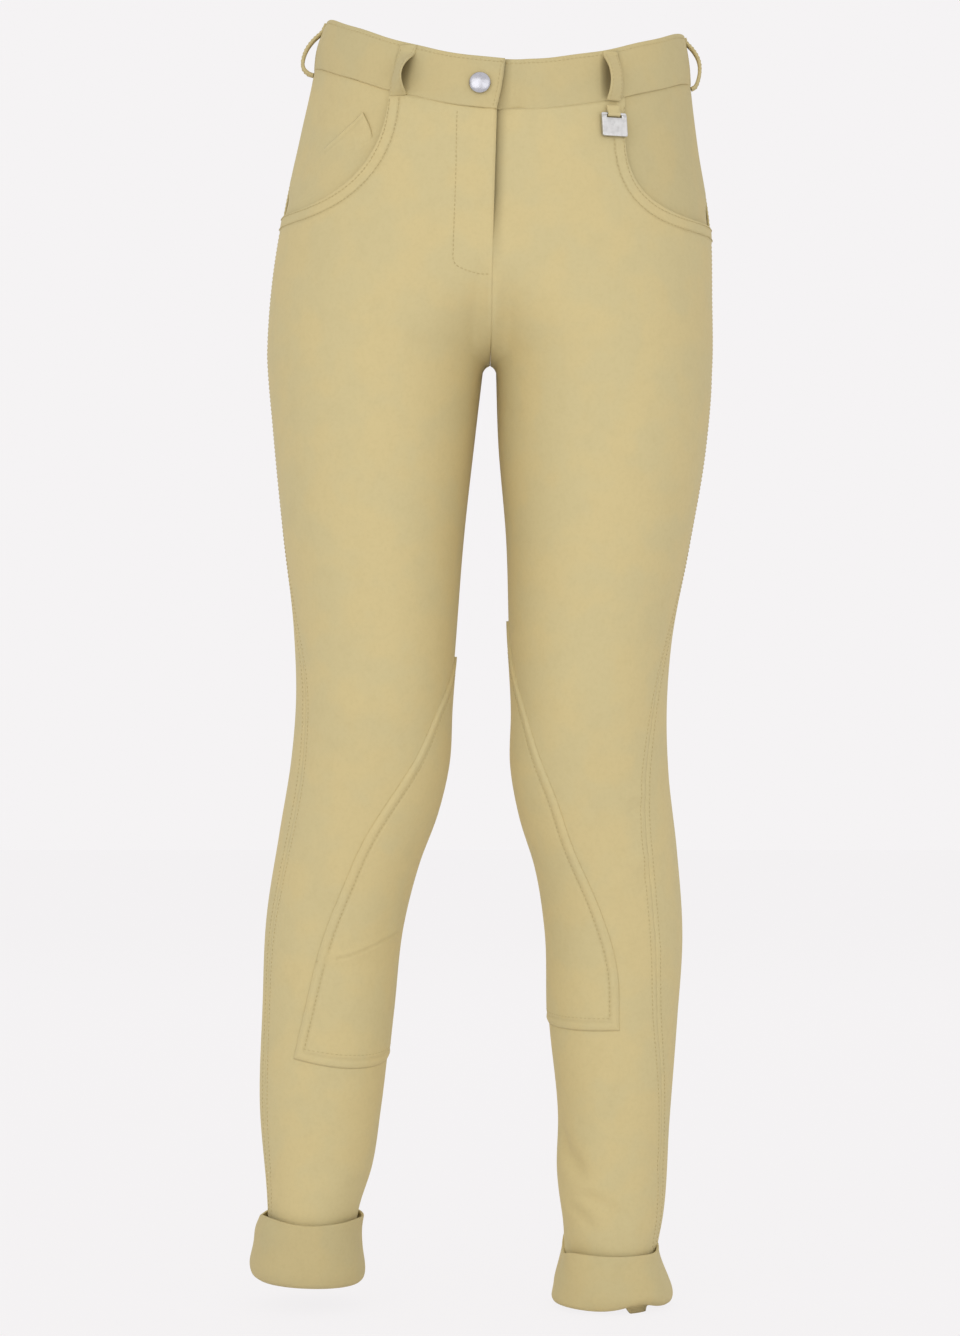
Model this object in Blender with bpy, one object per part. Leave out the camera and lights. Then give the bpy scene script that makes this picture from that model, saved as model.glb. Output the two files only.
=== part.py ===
"""Jodhpurs: stretch-cotton riding trousers, filled out and hanging from the waist.

World frame: metres, +Z up, the front faces -Y, the wearer's left is +X. The origin is
the middle of the waist opening, level with the top edge at the centre front.

Every cloth piece is a wall on one skin. The skin is a stack of sections, each worked out
from a few named widths and depths at its level. "level" is the height in the garment's
own frame: the hips stand a little askew, so height = level - HIP_TILT * x, and the
middle line leans by MIDDLE_LEAN. "turn" runs along a section from the side (0) round the
front to the centre front or the inseam (+1), or round the back (-1).
"""

import math

import bpy
import numpy as np

# ---------------------------------------------------------------- driving sizes (metres)
HIP_TILT = 0.04            # the right hip stands higher
MIDDLE_LEAN = 0.05         # the centre-front line leans this much, down to the crotch
CROTCH = -0.240            # level of the crotch point
HEM = {"right": -0.9735, "left": -0.9825}

CLOTH = 0.0016             # stretch cotton, one layer
BAND_WALL = 0.0026         # waistband, folded double
LOOP_WALL = 0.0020         # belt loops, folded strip
PATCH_WALL = 0.0013        # knee patches
SEAM_GAP = 0.0003          # between pieces that are sewn together
FACET_ROOM = 0.0005        # more room where faceted layers lie over each other

WAIST_DIP = {"front": (0.040, 1.85), "back": (0.011, 2.0)}   # top edge: drop from the
#                          sides to the centre, and the exponent of its curve
WAIST_SIDE = 0.029         # level of the top edge at the sides
BAND_HEIGHT = 0.040

FLY_END = -0.165           # level where the fly opening closes
FLY_GAP = {"right": 0.0028, "left": 0.0020}   # half-gaps at the top of the fly
OVERLAP_STEP = 0.0016      # how far each waistband end stands off at the button

SQUARENESS = 2.1           # exponent of the sections: 2 is an ellipse
SAMPLES = 90               # steps used to measure along each half of a section

# ---------------------------------------------------------------- short tables of sections
# Half-widths from the middle line to the outer side.
OUTER_COLUMNS = ("level", "right", "left")
OUTER = (
    (0.029, 0.1435, 0.1418),
    (0.005, 0.1506, 0.1468),
    (-0.012, 0.1522, 0.1492),
    (-0.060, 0.1600, 0.1574),
    (-0.120, 0.1700, 0.1698),
    (-0.180, 0.1766, 0.1742),
    (-0.240, 0.1776, 0.1768),
    (-0.300, 0.1728, 0.1720),
    (-0.380, 0.1648, 0.1584),
    (-0.460, 0.1560, 0.1440),
    (-0.515, 0.1545, 0.1406),
    (-0.560, 0.1584, 0.1424),
    (-0.620, 0.1684, 0.1494),
    (-0.690, 0.1794, 0.1544),
    (-0.760, 0.1826, 0.1502),
    (-0.840, 0.1846, 0.1440),
    (-0.915, 0.1784, 0.1386),
    (-0.945, 0.1772, 0.1332),
    (-0.985, 0.1766, 0.1322),
)
# From the middle line to the inner side of each leg, below the crotch.
INNER_COLUMNS = ("level", "right", "left")
INNER = (
    (-0.240, 0.0050, 0.0046),
    (-0.300, 0.0120, 0.0064),
    (-0.380, 0.0208, 0.0128),
    (-0.460, 0.0270, 0.0152),
    (-0.515, 0.0312, 0.0180),
    (-0.560, 0.0338, 0.0176),
    (-0.600, 0.0430, 0.0248),
    (-0.640, 0.0576, 0.0372),
    (-0.690, 0.0704, 0.0452),
    (-0.760, 0.0784, 0.0472),
    (-0.840, 0.0876, 0.0546),
    (-0.885, 0.0945, 0.0538),
    (-0.920, 0.1052, 0.0584),
    (-0.985, 0.1066, 0.0592),
)
# Where the side lies front to back, the depths in front of it and behind it, and how far
# across each half its fullest point stands (0 on the middle line, 0.5 over the leg).
DEPTH_COLUMNS = ("level", "side_y", "front", "back", "lobe")
DEPTH = (
    (0.029, 0.000, 0.0960, 0.0920, 0.02),
    (-0.012, 0.000, 0.0990, 0.0985, 0.04),
    (-0.060, 0.000, 0.1040, 0.1090, 0.09),
    (-0.120, 0.000, 0.1085, 0.1240, 0.22),
    (-0.180, -0.002, 0.1080, 0.1330, 0.38),
    (-0.240, -0.004, 0.1040, 0.1210, 0.50),
    (-0.300, -0.006, 0.0985, 0.1000, 0.50),
    (-0.380, -0.010, 0.0885, 0.0825, 0.50),
    (-0.460, -0.012, 0.0780, 0.0690, 0.50),
    (-0.515, -0.011, 0.0715, 0.0625, 0.50),
    (-0.560, -0.005, 0.0660, 0.0625, 0.50),
    (-0.620, 0.003, 0.0600, 0.0645, 0.50),
    (-0.690, 0.010, 0.0550, 0.0650, 0.50),
    (-0.760, 0.012, 0.0520, 0.0600, 0.50),
    (-0.840, 0.010, 0.0485, 0.0515, 0.50),
    (-0.920, 0.006, 0.0465, 0.0465, 0.50),
    (-0.985, 0.004, 0.0465, 0.0460, 0.50),
)
# The outseam swings forward round the lower leg: its turn at each level.
OUTSEAM_COLUMNS = ("level", "right", "left")
OUTSEAM = (
    (-0.300, 0.000, 0.000),
    (-0.380, 0.035, 0.040),
    (-0.440, 0.100, 0.115),
    (-0.490, 0.180, 0.200),
    (-0.560, 0.205, 0.275),
    (-0.650, 0.190, 0.320),
    (-0.740, 0.150, 0.290),
    (-0.830, 0.155, 0.205),
    (-0.985, 0.145, 0.150),
)
# Crotch curve at the middle line: the level where each face starts to run in, and how
# full its curve is.
CROTCH_CURVE = {"front": (-0.150, 2.2), "back": (-0.130, 2.4)}
CROTCH_ARCH = 0.004        # drop over which the arch between the legs opens
CLEFT_ROUNDING = 0.008     # width over which the fold at the middle line is rounded

# Scooped pocket mouths: (distance from the middle line, level) at the waist seam, the
# level at the side seam, and the exponent of the curve between them.
SCOOP = {
    "right": {"top": (0.0895, -0.0440), "side_level": -0.1300, "exponent": 2.10},
    "left": {"top": (0.0950, -0.0420), "side_level": -0.1270, "exponent": 2.70},
}
FACING_DEPTH = {"right": 0.0050, "left": 0.0036}   # outer faces, below the front's
FACING_UNDERLAP = 0.014    # how far a facing runs on beneath the front

# Knee patches: how far the front edge stands from the inseam, as a share of the half
# section, at each level from the top corner down to the straight bottom edge.
PATCH_COLUMNS = ("level", "reach")
PATCH = {
    "right": ((-0.474, 0.015), (-0.510, 0.19), (-0.560, 0.335), (-0.610, 0.445),
              (-0.660, 0.500), (-0.720, 0.580), (-0.797, 0.690)),
    "left": ((-0.444, 0.015), (-0.480, 0.10), (-0.520, 0.215), (-0.576, 0.330),
             (-0.633, 0.375), (-0.667, 0.430), (-0.722, 0.515), (-0.762, 0.540)),
}
PATCH_BACK_SHARE = 0.85    # the reach behind the inseam, of the reach in front

# Turned-up cuffs, from the fold at the bottom up to the lip: height above the fold, and
# how far the cuff stands out from the leg at the outer side, inner side and front/back.
CUFF_COLUMNS = ("height", "outer", "inner", "face")
CUFF = {
    "right": {
        "fold_level": -0.9765,
        "rows": ((0.0000, 0.0095, 0.0030, 0.0035), (0.0035, 0.0140, 0.0060, 0.0055),
                 (0.0120, 0.0150, 0.0075, 0.0065), (0.0270, 0.0118, 0.0058, 0.0060),
                 (0.0420, 0.0096, 0.0044, 0.0060), (0.0530, 0.0054, 0.0044, 0.0058)),
    },
    "left": {
        "fold_level": -0.9858,
        "rows": ((0.0000, 0.0085, 0.0085, 0.0035), (0.0035, 0.0126, 0.0100, 0.0055),
                 (0.0110, 0.0134, 0.0092, 0.0065), (0.0240, 0.0098, 0.0078, 0.0060),
                 (0.0370, 0.0062, 0.0078, 0.0058), (0.0450, 0.0046, 0.0078, 0.0056)),
    },
}
CUFF_WALL = 0.0024         # folded double
CUFF_INSIDE = 0.020        # height of the cuff's inner layer, inside the leg
CUFF_AROUND = 28           # facets round a cuff

# Belt loops: turn at mid-band, how far the fullest point stands off, and where it stands,
# as a share of the way down the band.
LOOP_COLUMNS = ("name", "side", "turn", "standoff", "peak")
LOOPS = (
    ("belt_loop_front_right", "right", 0.611, 0.0125, 0.57),
    ("belt_loop_front_left", "left", 0.581, 0.0112, 0.52),
    ("belt_loop_side_right", "right", 0.020, 0.0086, 0.78),
    ("belt_loop_side_left", "left", 0.020, 0.0068, 0.72),
    ("belt_loop_back", "right", -1.000, 0.0068, 0.52),
)
LOOP_HALF_WIDTH = 0.0057
LOOP_STEPS = 12
LOOP_SEWN = 0.06           # share of the length that is sewn down at each end
LOOP_FULLNESS = 0.75       # exponent of the bulge: under 1 is fuller

# Waist button: radius and height pairs of its turned outline, from the centre of the
# back to the top of the dome.
BUTTON_PLACE = (0.0184, -0.0318)   # from the middle line on the right, and level
BUTTON_OUTLINE = (
    (0.0000, 0.0004), (0.0060, 0.0004), (0.0066, 0.0014), (0.0080, 0.0018),
    (0.0083, 0.0026), (0.0077, 0.0034), (0.0064, 0.0036), (0.0060, 0.0032),
    (0.0048, 0.0042), (0.0026, 0.0049), (0.0000, 0.0051),
)
BUTTON_AROUND = 16

# Metal tag and its cloth loop, on the left front below the belt loop.
TAG_PLACE = (0.0850, -0.0500)      # from the middle line on the left, and level of the bar
TAG_WIDTH = 0.0210
TAG_DROP = 0.0180                  # from the bar's axis down to the bottom edge
TAG_BAR = 0.0008                   # from the bar's axis up to the top edge
TAG_WALL = 0.0030
TAG_BAR_WALL = 0.0016              # the bar is slimmer than the plate
TAG_CORNER = 0.0014
SLOT_WIDTH = 0.0124
SLOT_DROP = 0.0033                 # from the bar's axis down to the slot's bottom
TAG_LOOP_HALF_WIDTH = 0.0052
TAG_LOOP_BORE = 0.0014             # inner radius of the cloth round the bar
TAG_LOOP_WALL = 0.0009
TAG_LOOP_HEIGHT = 0.0062           # from the bar's axis up to the stitched end
TAG_LOOP_BENDS = 13                # points of the tape's bend under the bar
# How the tape closes above the bar: share of the way in, share of the height.
TAG_LOOP_PINCH = ((0.45, 0.25), (0.85, 0.50), (1.00, 0.72))

# ---------------------------------------------------------------- colours (linear RGB)
SAND = (0.600, 0.500, 0.250)
SILVER = (0.720, 0.715, 0.700)


# ================================================================ tables and sections
def table(columns, rows):
    """A short table as {column name: array}, ordered by rising level."""
    ordered = sorted(rows)
    return {name: np.array([row[i] for row in ordered]) for i, name in enumerate(columns)}


OUTER_TABLE = table(OUTER_COLUMNS, OUTER)
INNER_TABLE = table(INNER_COLUMNS, INNER)
DEPTH_TABLE = table(DEPTH_COLUMNS, DEPTH)
OUTSEAM_TABLE = table(OUTSEAM_COLUMNS, OUTSEAM)
PATCH_TABLE = {side: table(PATCH_COLUMNS, rows) for side, rows in PATCH.items()}


def smooth(tab, name, level):
    """Value of a column at a level: a cubic through its rows, flat beyond both ends."""
    knots, values = tab["level"], tab[name]
    level = min(max(level, knots[0]), knots[-1])
    slopes = np.gradient(values, knots)
    i = min(int(np.searchsorted(knots, level, side="right")) - 1, len(knots) - 2)
    i = max(i, 0)
    step = knots[i + 1] - knots[i]
    t = (level - knots[i]) / step
    return ((2 * t**3 - 3 * t**2 + 1) * values[i] + (t**3 - 2 * t**2 + t) * step * slopes[i]
            + (3 * t**2 - 2 * t**3) * values[i + 1] + (t**3 - t**2) * step * slopes[i + 1])


def inner_edge(side, level):
    """Distance from the middle line to the inner end of a section."""
    if level >= CROTCH:
        return SEAM_GAP / 2
    opening = math.sqrt(min(1.0, (CROTCH - level) / CROTCH_ARCH))
    return SEAM_GAP / 2 + (smooth(INNER_TABLE, side, level) - SEAM_GAP / 2) * opening


def crotch_reach(face, level):
    """How far out the crotch curve stands at a level, as a share of the full depth."""
    start, fullness = CROTCH_CURVE[face]
    if level >= start:
        return 1.0
    run = min(1.0, (start - level) / (start - CROTCH))
    return (1.0 - run**fullness) ** (1.0 / fullness)


def section(side, face, level):
    """Half of a section, from the side to the centre or the inseam.

    Returns the distance from the middle line, y, and the length walked, as arrays.
    """
    outer = smooth(OUTER_TABLE, side, level)
    inner = inner_edge(side, level)
    side_y = smooth(DEPTH_TABLE, "side_y", level)
    depth = smooth(DEPTH_TABLE, face, level)
    reach = crotch_reach(face, level)
    if level >= CROTCH:
        middle = smooth(DEPTH_TABLE, "lobe", level) * outer
    else:
        middle = (outer + inner) / 2
    power = 2.0 / SQUARENESS
    angle = np.linspace(0.0, math.pi / 2, SAMPLES)
    x_side = middle + (outer - middle) * np.cos(angle) ** power
    y_side = depth * np.sin(angle) ** power
    x_in = middle - (middle - inner) * np.sin(angle[1:])
    narrowing = (1.0 - reach**SQUARENESS) ** (1.0 / SQUARENESS)
    rounding = CLEFT_ROUNDING * reach if level >= CROTCH else 0.0
    run = x_in - inner
    span = max(middle - inner, 1e-6)
    rounded = run * run * (1 + rounding / span) / (run + rounding + 1e-9)
    share = np.clip(1.0 - rounded / span, 0.0, 1.0) * (narrowing if level >= CROTCH else 1.0)
    y_in = depth * (1.0 - share**SQUARENESS) ** (1.0 / SQUARENESS)
    x = np.concatenate([x_side, x_in])
    y = np.concatenate([y_side, y_in])
    walked = np.concatenate([[0.0], np.cumsum(np.hypot(np.diff(x), np.diff(y)))])
    return x, side_y + (y if face == "back" else -y), walked


def skin(side, level, turn):
    """Point of the outer surface in the world, at a level and a turn."""
    x, y, walked = section(side, "front" if turn >= 0 else "back", level)
    distance = abs(turn) * walked[-1]
    across = np.interp(distance, walked, x) * (1 if side == "left" else -1)
    world_x = across + MIDDLE_LEAN * max(level, CROTCH)
    return np.array([world_x, np.interp(distance, walked, y), level - HIP_TILT * world_x])


def half_length(side, face, level):
    """Length of half a section, from the side to its inner end."""
    return section(side, face, level)[2][-1]


def turn_at_width(side, face, level, width):
    """Turn of the point at a distance from the middle line."""
    x, _, walked = section(side, face, level)
    turn = np.interp(-width, -x, walked) / walked[-1]
    return turn if face == "front" else -turn


def unit(vector):
    """The vector at length one."""
    return vector / np.linalg.norm(vector)


def outward(side, level, turn):
    """Unit normal of the skin, by small steps along the level and along the turn."""
    step = 0.0015
    low, high = max(turn - 0.01, -1.0), min(turn + 0.01, 1.0)
    along = skin(side, level, high) - skin(side, level, low)
    rise = skin(side, level + step, turn) - skin(side, level - step, turn)
    normal = np.cross(rise, along)
    return unit(normal if side == "left" else -normal)


def cloth_point(side, level, turn, out=0.0):
    """Point of the skin, moved out along its normal (in, if negative)."""
    point = skin(side, level, turn)
    return point + out * outward(side, level, turn) if out else point


# ================================================================ waist lines
def waist_top(side, turn):
    """Level of the waistband's top edge: highest at the sides, lowest at the front."""
    face = "front" if turn >= 0 else "back"
    drop, power = WAIST_DIP[face]
    x, _, walked = section(side, face, WAIST_SIDE - BAND_HEIGHT)
    share = np.interp(abs(turn) * walked[-1], walked, x) / x[0]
    return WAIST_SIDE - drop * (1.0 - share**power)


def waist_seam(side, turn):
    """Level of the seam under the waistband."""
    return waist_top(side, turn) - BAND_HEIGHT


def outseam(side, level):
    """Turn of the outseam at a level."""
    if level >= OUTSEAM[0][0]:
        return 0.0
    return smooth(OUTSEAM_TABLE, side, level)


# ================================================================ meshes
def material(name, colour, roughness, metallic):
    """A plain Principled material."""
    made = bpy.data.materials.new(name)
    made.use_nodes = True
    shader = made.node_tree.nodes["Principled BSDF"]
    shader.inputs["Base Color"].default_value = (*colour, 1.0)
    shader.inputs["Roughness"].default_value = roughness
    shader.inputs["Metallic"].default_value = metallic
    return made


def cloth(name):
    """The sand stretch cotton of one piece."""
    return material(f"cotton_{name}", SAND, 0.9, 0.0)


def metal(name):
    """The brushed silver metal of one piece."""
    return material(f"metal_{name}", SILVER, 0.35, 1.0)


def new_object(name, vertices, faces, finish):
    """Link one object made from points and faces, with faces pointing out."""
    mesh = bpy.data.meshes.new(name)
    mesh.from_pydata([tuple(float(v) for v in p) for p in vertices], [], faces)
    mesh.materials.append(finish)
    points = np.array(vertices)
    mesh.calc_loop_triangles()
    volume = 0.0
    for triangle in mesh.loop_triangles:
        a, b, c = (points[i] for i in triangle.vertices)
        volume += float(np.dot(a, np.cross(b, c)))
    if volume < 0:
        mesh.flip_normals()
    mesh.shade_smooth()
    mesh.set_sharp_from_angle(angle=math.radians(40))
    made = bpy.data.objects.new(name, mesh)
    bpy.context.scene.collection.objects.link(made)
    return made


def wall_solid(name, outer, inner, finish, rising_rows=0):
    """A wall between two grids of points with the same rows and columns.

    Each cell is two triangles, split from the start of its first row to the end of its
    second in the first rising_rows rows, and the other way below them.
    """
    rows, columns = len(outer), len(outer[0])
    points = [p for row in outer for p in row] + [p for row in inner for p in row]
    back = rows * columns

    def at(row, column):
        return row * columns + column

    faces = []
    for r in range(rows - 1):
        for c in range(columns - 1):
            quad = (at(r, c), at(r, c + 1), at(r + 1, c + 1), at(r + 1, c))
            first = 0 if r < rising_rows else 1
            for half in (0, 2):
                corners = [quad[(first + half + k) % 4] for k in range(3)]
                faces.append(tuple(corners))
                faces.append(tuple(back + i for i in reversed(corners)))
    rim = ([at(0, c) for c in range(columns)]
           + [at(r, columns - 1) for r in range(1, rows)]
           + [at(rows - 1, c) for c in range(columns - 2, -1, -1)]
           + [at(r, 0) for r in range(rows - 2, 0, -1)])
    for here, after in zip(rim, rim[1:] + rim[:1]):
        faces.append((after, here, back + here, back + after))
    return new_object(name, points, faces, finish)


def clipped(polygons, vertices, field):
    """Polygons cut back to where a field is positive; new vertices are appended.

    A vertex is an array: point, normal, then its fields. A cut edge is shared by the
    polygons on both its sides.
    """
    cuts, kept = {}, []
    for polygon in polygons:
        corners = []
        for here, after in zip(polygon, polygon[1:] + polygon[:1]):
            value, next_value = vertices[here][field], vertices[after][field]
            if value >= 0:
                corners.append(here)
            if (value >= 0) != (next_value >= 0):
                key = (min(here, after), max(here, after))
                if key not in cuts:
                    share = value / (value - next_value)
                    cuts[key] = len(vertices)
                    vertices.append(vertices[here] * (1 - share) + vertices[after] * share)
                corners.append(cuts[key])
        if len(corners) >= 3:
            kept.append(corners)
    return kept


def patch_solid(name, polygons, vertices, stand, wall, finish):
    """A wall over some of a panel's own facets, lifted along their normals."""
    used = sorted({i for polygon in polygons for i in polygon})
    number = {old: new for new, old in enumerate(used)}
    points = [vertices[i][:3] + vertices[i][3:6] * (stand + wall) for i in used]
    points += [vertices[i][:3] + vertices[i][3:6] * stand for i in used]
    count = len(used)
    outer = [[number[i] for i in polygon] for polygon in polygons]
    faces = outer + [[count + i for i in reversed(polygon)] for polygon in outer]
    edges = {(a, b) for polygon in outer for a, b in zip(polygon, polygon[1:] + polygon[:1])}
    faces += [(b, a, count + a, count + b) for a, b in sorted(edges) if (b, a) not in edges]
    return new_object(name, points, faces, finish)


def loop_solid(name, rings, finish):
    """A solid from rings of points, closed round each ring and from last to first."""
    count, around = len(rings), len(rings[0])
    points = [p for ring in rings for p in ring]
    faces = []
    for r in range(count):
        for a in range(around):
            after_r, after_a = (r + 1) % count, (a + 1) % around
            faces.append((r * around + a, r * around + after_a,
                          after_r * around + after_a, after_r * around + a))
    return new_object(name, points, faces, finish)


def wall_on_skin(name, side, grid, depth_at, wall, finish, rising_rows=0):
    """A wall whose outer face follows the skin, depth_at(level, turn) below it."""
    outer, inner = [], []
    for row in grid:
        depths = [depth_at(level, turn) for level, turn in row]
        outer.append([cloth_point(side, level, turn, -depth)
                      for (level, turn), depth in zip(row, depths)])
        inner.append([cloth_point(side, level, turn, -depth - wall)
                      for (level, turn), depth in zip(row, depths)])
    return wall_solid(name, outer, inner, finish, rising_rows)


# ================================================================ leg panels
ROWS_POCKET = 8            # rows along the scoop, or along the same stretch of the back
ROWS_CROTCH = 6            # rows from there to the crotch point
ROWS_ARCH = (0.004, 0.014) # rows just below the crotch point, as drops from it
ROWS_LEG = 17              # rows from there to the hem
ROWS_LEVELLED = 6          # rows over which the waist seam's line fades out
PANEL_COLUMNS = 11


def crotch_curve_levels(face, top):
    """Levels down the middle line from top to the crotch point, evenly along the curve."""
    levels = CROTCH + (top - CROTCH) * np.linspace(1.0, 0.0, 240) ** 2
    side_y = [section("right", face, float(v))[1][-1] for v in levels]
    walked = np.concatenate([[0.0], np.cumsum(np.hypot(np.diff(levels), np.diff(side_y)))])
    even = np.linspace(0.0, walked[-1], ROWS_CROTCH + 1)
    return [float(v) for v in np.interp(even, walked, levels)]


def fly_turn(side, level):
    """Turn of a front's inner edge: a narrow opening that closes at the fly's end."""
    share = min(1.0, max(0.0, (level - FLY_END) / (waist_seam(side, 1.0) - FLY_END)))
    width = SEAM_GAP / 2 + (FLY_GAP[side] - SEAM_GAP / 2) * share
    return turn_at_width(side, "front", level, width)


def scoop_point(side, angle):
    """Level and turn of the pocket mouth; angle runs from the waist to the side seam."""
    width, top = SCOOP[side]["top"]
    power = 2.0 / SCOOP[side]["exponent"]
    level = top + (SCOOP[side]["side_level"] - top) * math.sin(angle) ** power
    reach = 1.0 - max(math.cos(angle), 0.0) ** power
    full = section(side, "front", level)[0][0]
    return level, turn_at_width(side, "front", level, width + (full - width) * reach)


def scoop_angles(side, count):
    """Angles that place count + 1 points evenly along a pocket mouth."""
    angles = np.linspace(0.0, math.pi / 2, 61)
    points = np.array([skin(side, *scoop_point(side, angle)) for angle in angles])
    steps = np.linalg.norm(np.diff(points, axis=0), axis=1)
    walked = np.concatenate([[0.0], np.cumsum(steps)])
    return [float(v) for v in np.interp(np.linspace(0, walked[-1], count + 1), walked, angles)]


def leg_levels(side):
    """Levels of a leg's rows, from just below the crotch point to the hem."""
    start = CROTCH - ROWS_ARCH[-1]
    return [CROTCH - drop for drop in ROWS_ARCH] + [
        start + (HEM[side] - start) * (i + 1) / ROWS_LEG for i in range(ROWS_LEG)]


def panel_grid(side, face):
    """Rows of (level, turn) for a front or a back, from the waist seam to the hem."""
    sign = 1 if face == "front" else -1
    rows = []                      # (outer level, outer turn, inner level, inner turn)
    curve_top = CROTCH_CURVE[face][0]
    seam_middle = waist_seam(side, sign) - SEAM_GAP
    angles = scoop_angles(side, ROWS_POCKET)
    for i in range(ROWS_POCKET + 1):
        share = i / ROWS_POCKET
        inner_level = seam_middle + (curve_top - seam_middle) * share
        if face == "front":
            level, turn = scoop_point(side, angles[i])
        else:
            top = waist_seam(side, 0.0) - SEAM_GAP
            level, turn = top + (SCOOP[side]["side_level"] - top) * share, 0.0
        rows.append([level, turn, inner_level])
    start = rows[-1][0]
    for i, inner_level in enumerate(crotch_curve_levels(face, curve_top)[1:]):
        share = (i + 1) / ROWS_CROTCH
        rows.append([start + (CROTCH - start) * share, 0.0, inner_level])
    for level in leg_levels(side):
        rows.append([level, outseam(side, level), level])

    grid = []
    for r, (outer_level, outer_turn, inner_level) in enumerate(rows):
        gap_turn = SEAM_GAP / 2 / half_length(side, face, outer_level)
        start_turn = outer_turn + gap_turn * sign
        if face == "front" and inner_level >= CROTCH:
            end_turn = fly_turn(side, inner_level)
        else:
            end_turn = sign * (1.0 - SEAM_GAP / 2 / half_length(side, face, inner_level))
        fade = max(0.0, 1.0 - r / ROWS_LEVELLED) ** 2
        line = []
        for c in range(PANEL_COLUMNS):
            share = c / (PANEL_COLUMNS - 1)
            level = outer_level + (inner_level - outer_level) * share
            turn = start_turn + (end_turn - start_turn) * share
            if fade:
                top_share_level = rows[0][0] + (rows[0][2] - rows[0][0]) * share
                level += fade * (waist_seam(side, turn) - SEAM_GAP - top_share_level)
            line.append((level, turn))
        grid.append(line)
    return grid


def make_panels():
    """The four leg panels."""
    for side in ("right", "left"):
        for face in ("front", "back"):
            name = f"{face}_{side}"
            wall_on_skin(name, side, panel_grid(side, face), lambda level, turn: 0.0,
                         CLOTH, cloth(name), ROWS_POCKET)


# ================================================================ waistband and fly
BAND_STEPS = 30                    # steps round each half of the band
LAP_UNDER = (0.010, 0.022, 0.034)  # stations of the left end, under the right one
# How far from the middle line each end starts to stand off, and over what length.
LAP_RAMP = {"right": (0.060, 0.025), "left": (0.022, 0.014)}


def band_stations():
    """Places round the waistband from its right end, round the back, to its left end.

    Each is (side, turn, outset): the two ends stand off to lap over each other.
    """
    middle = WAIST_SIDE - WAIST_DIP["front"][0] - BAND_HEIGHT / 2
    turns = [float(turn) for turn in np.linspace(1.0, -1.0, BAND_STEPS + 1)]
    placed = []
    for side, run in (("right", turns), ("left", turns[-2::-1])):
        start, length = LAP_RAMP[side]
        way = OVERLAP_STEP if side == "right" else -OVERLAP_STEP
        for turn in run:
            from_middle = (1.0 - abs(turn)) * half_length(side, "front", middle)
            share = min(1.0, max(0.0, (start - from_middle) / length)) if turn > 0 else 0.0
            placed.append((side, turn, way * share))
    for width in LAP_UNDER:
        turn = turn_at_width("right", "front", middle, width)
        placed.append(("right", turn, -OVERLAP_STEP))
    return placed


def make_waistband():
    """The folded band, one strip with its right end over its left end."""
    outer, inner = [], []
    for side, turn, outset in band_stations():
        top = waist_top(side, turn)
        levels = (top, top - BAND_HEIGHT / 2, top - BAND_HEIGHT)
        outer.append([cloth_point(side, level, turn, outset) for level in levels])
        inner.append([cloth_point(side, level, turn, outset - BAND_WALL) for level in levels])
    wall_solid("waistband", outer, inner, cloth("waistband"))


SHIELD_WIDTHS = (-0.032, -0.022, -0.012, -0.004, 0.004, 0.012, 0.022)   # + is left
SHIELD_ROWS = 8
SHIELD_DROP = 0.008        # below the end of the fly opening


def make_fly_shield():
    """The strip behind the fly, under both fronts."""
    depth = CLOTH + SEAM_GAP + FACET_ROOM
    bottom = FLY_END - SHIELD_DROP
    outer, inner = [], []
    for r in range(SHIELD_ROWS):
        row_out, row_in = [], []
        for width in SHIELD_WIDTHS:
            side = "right" if width < 0 else "left"
            seam_turn = turn_at_width(side, "front", -BAND_HEIGHT, abs(width))
            top = waist_seam(side, seam_turn) - 3 * SEAM_GAP
            level = top + (bottom - top) * r / (SHIELD_ROWS - 1)
            turn = turn_at_width(side, "front", level, abs(width))
            row_out.append(cloth_point(side, level, turn, -depth))
            row_in.append(cloth_point(side, level, turn, -depth - CLOTH))
        outer.append(row_out)
        inner.append(row_in)
    wall_solid("fly_shield", outer, inner, cloth("fly_shield"))


# ================================================================ pockets
FACING_ROWS, FACING_COLUMNS = 10, 8
FACING_RAMP_TURN = (0.02, 0.16)     # from the outseam: where the depth starts, and its run
FACING_RAMP_LEVEL = (0.030, 0.022)  # the same downwards, from above the pocket's end
FACING_TOP_TURN = (0.10, 0.30)      # least width at the bottom, and how much more on top


def facing_depth(side):
    """Depth of a facing's outer face below the skin: full below the front's edge, and
    nearly flush where it is sewn to the back at the outseam above the pocket's end."""
    deep, side_level = FACING_DEPTH[side], SCOOP[side]["side_level"]
    turn_start, turn_run = FACING_RAMP_TURN
    above, level_run = FACING_RAMP_LEVEL

    def depth_at(level, turn):
        along = (turn - turn_start) / turn_run
        down = (side_level + above - level) / level_run
        share = min(1.0, max(0.0, along, down))
        share = share * share * (3 - 2 * share)
        return SEAM_GAP + (deep - SEAM_GAP) * share

    return depth_at


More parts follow.
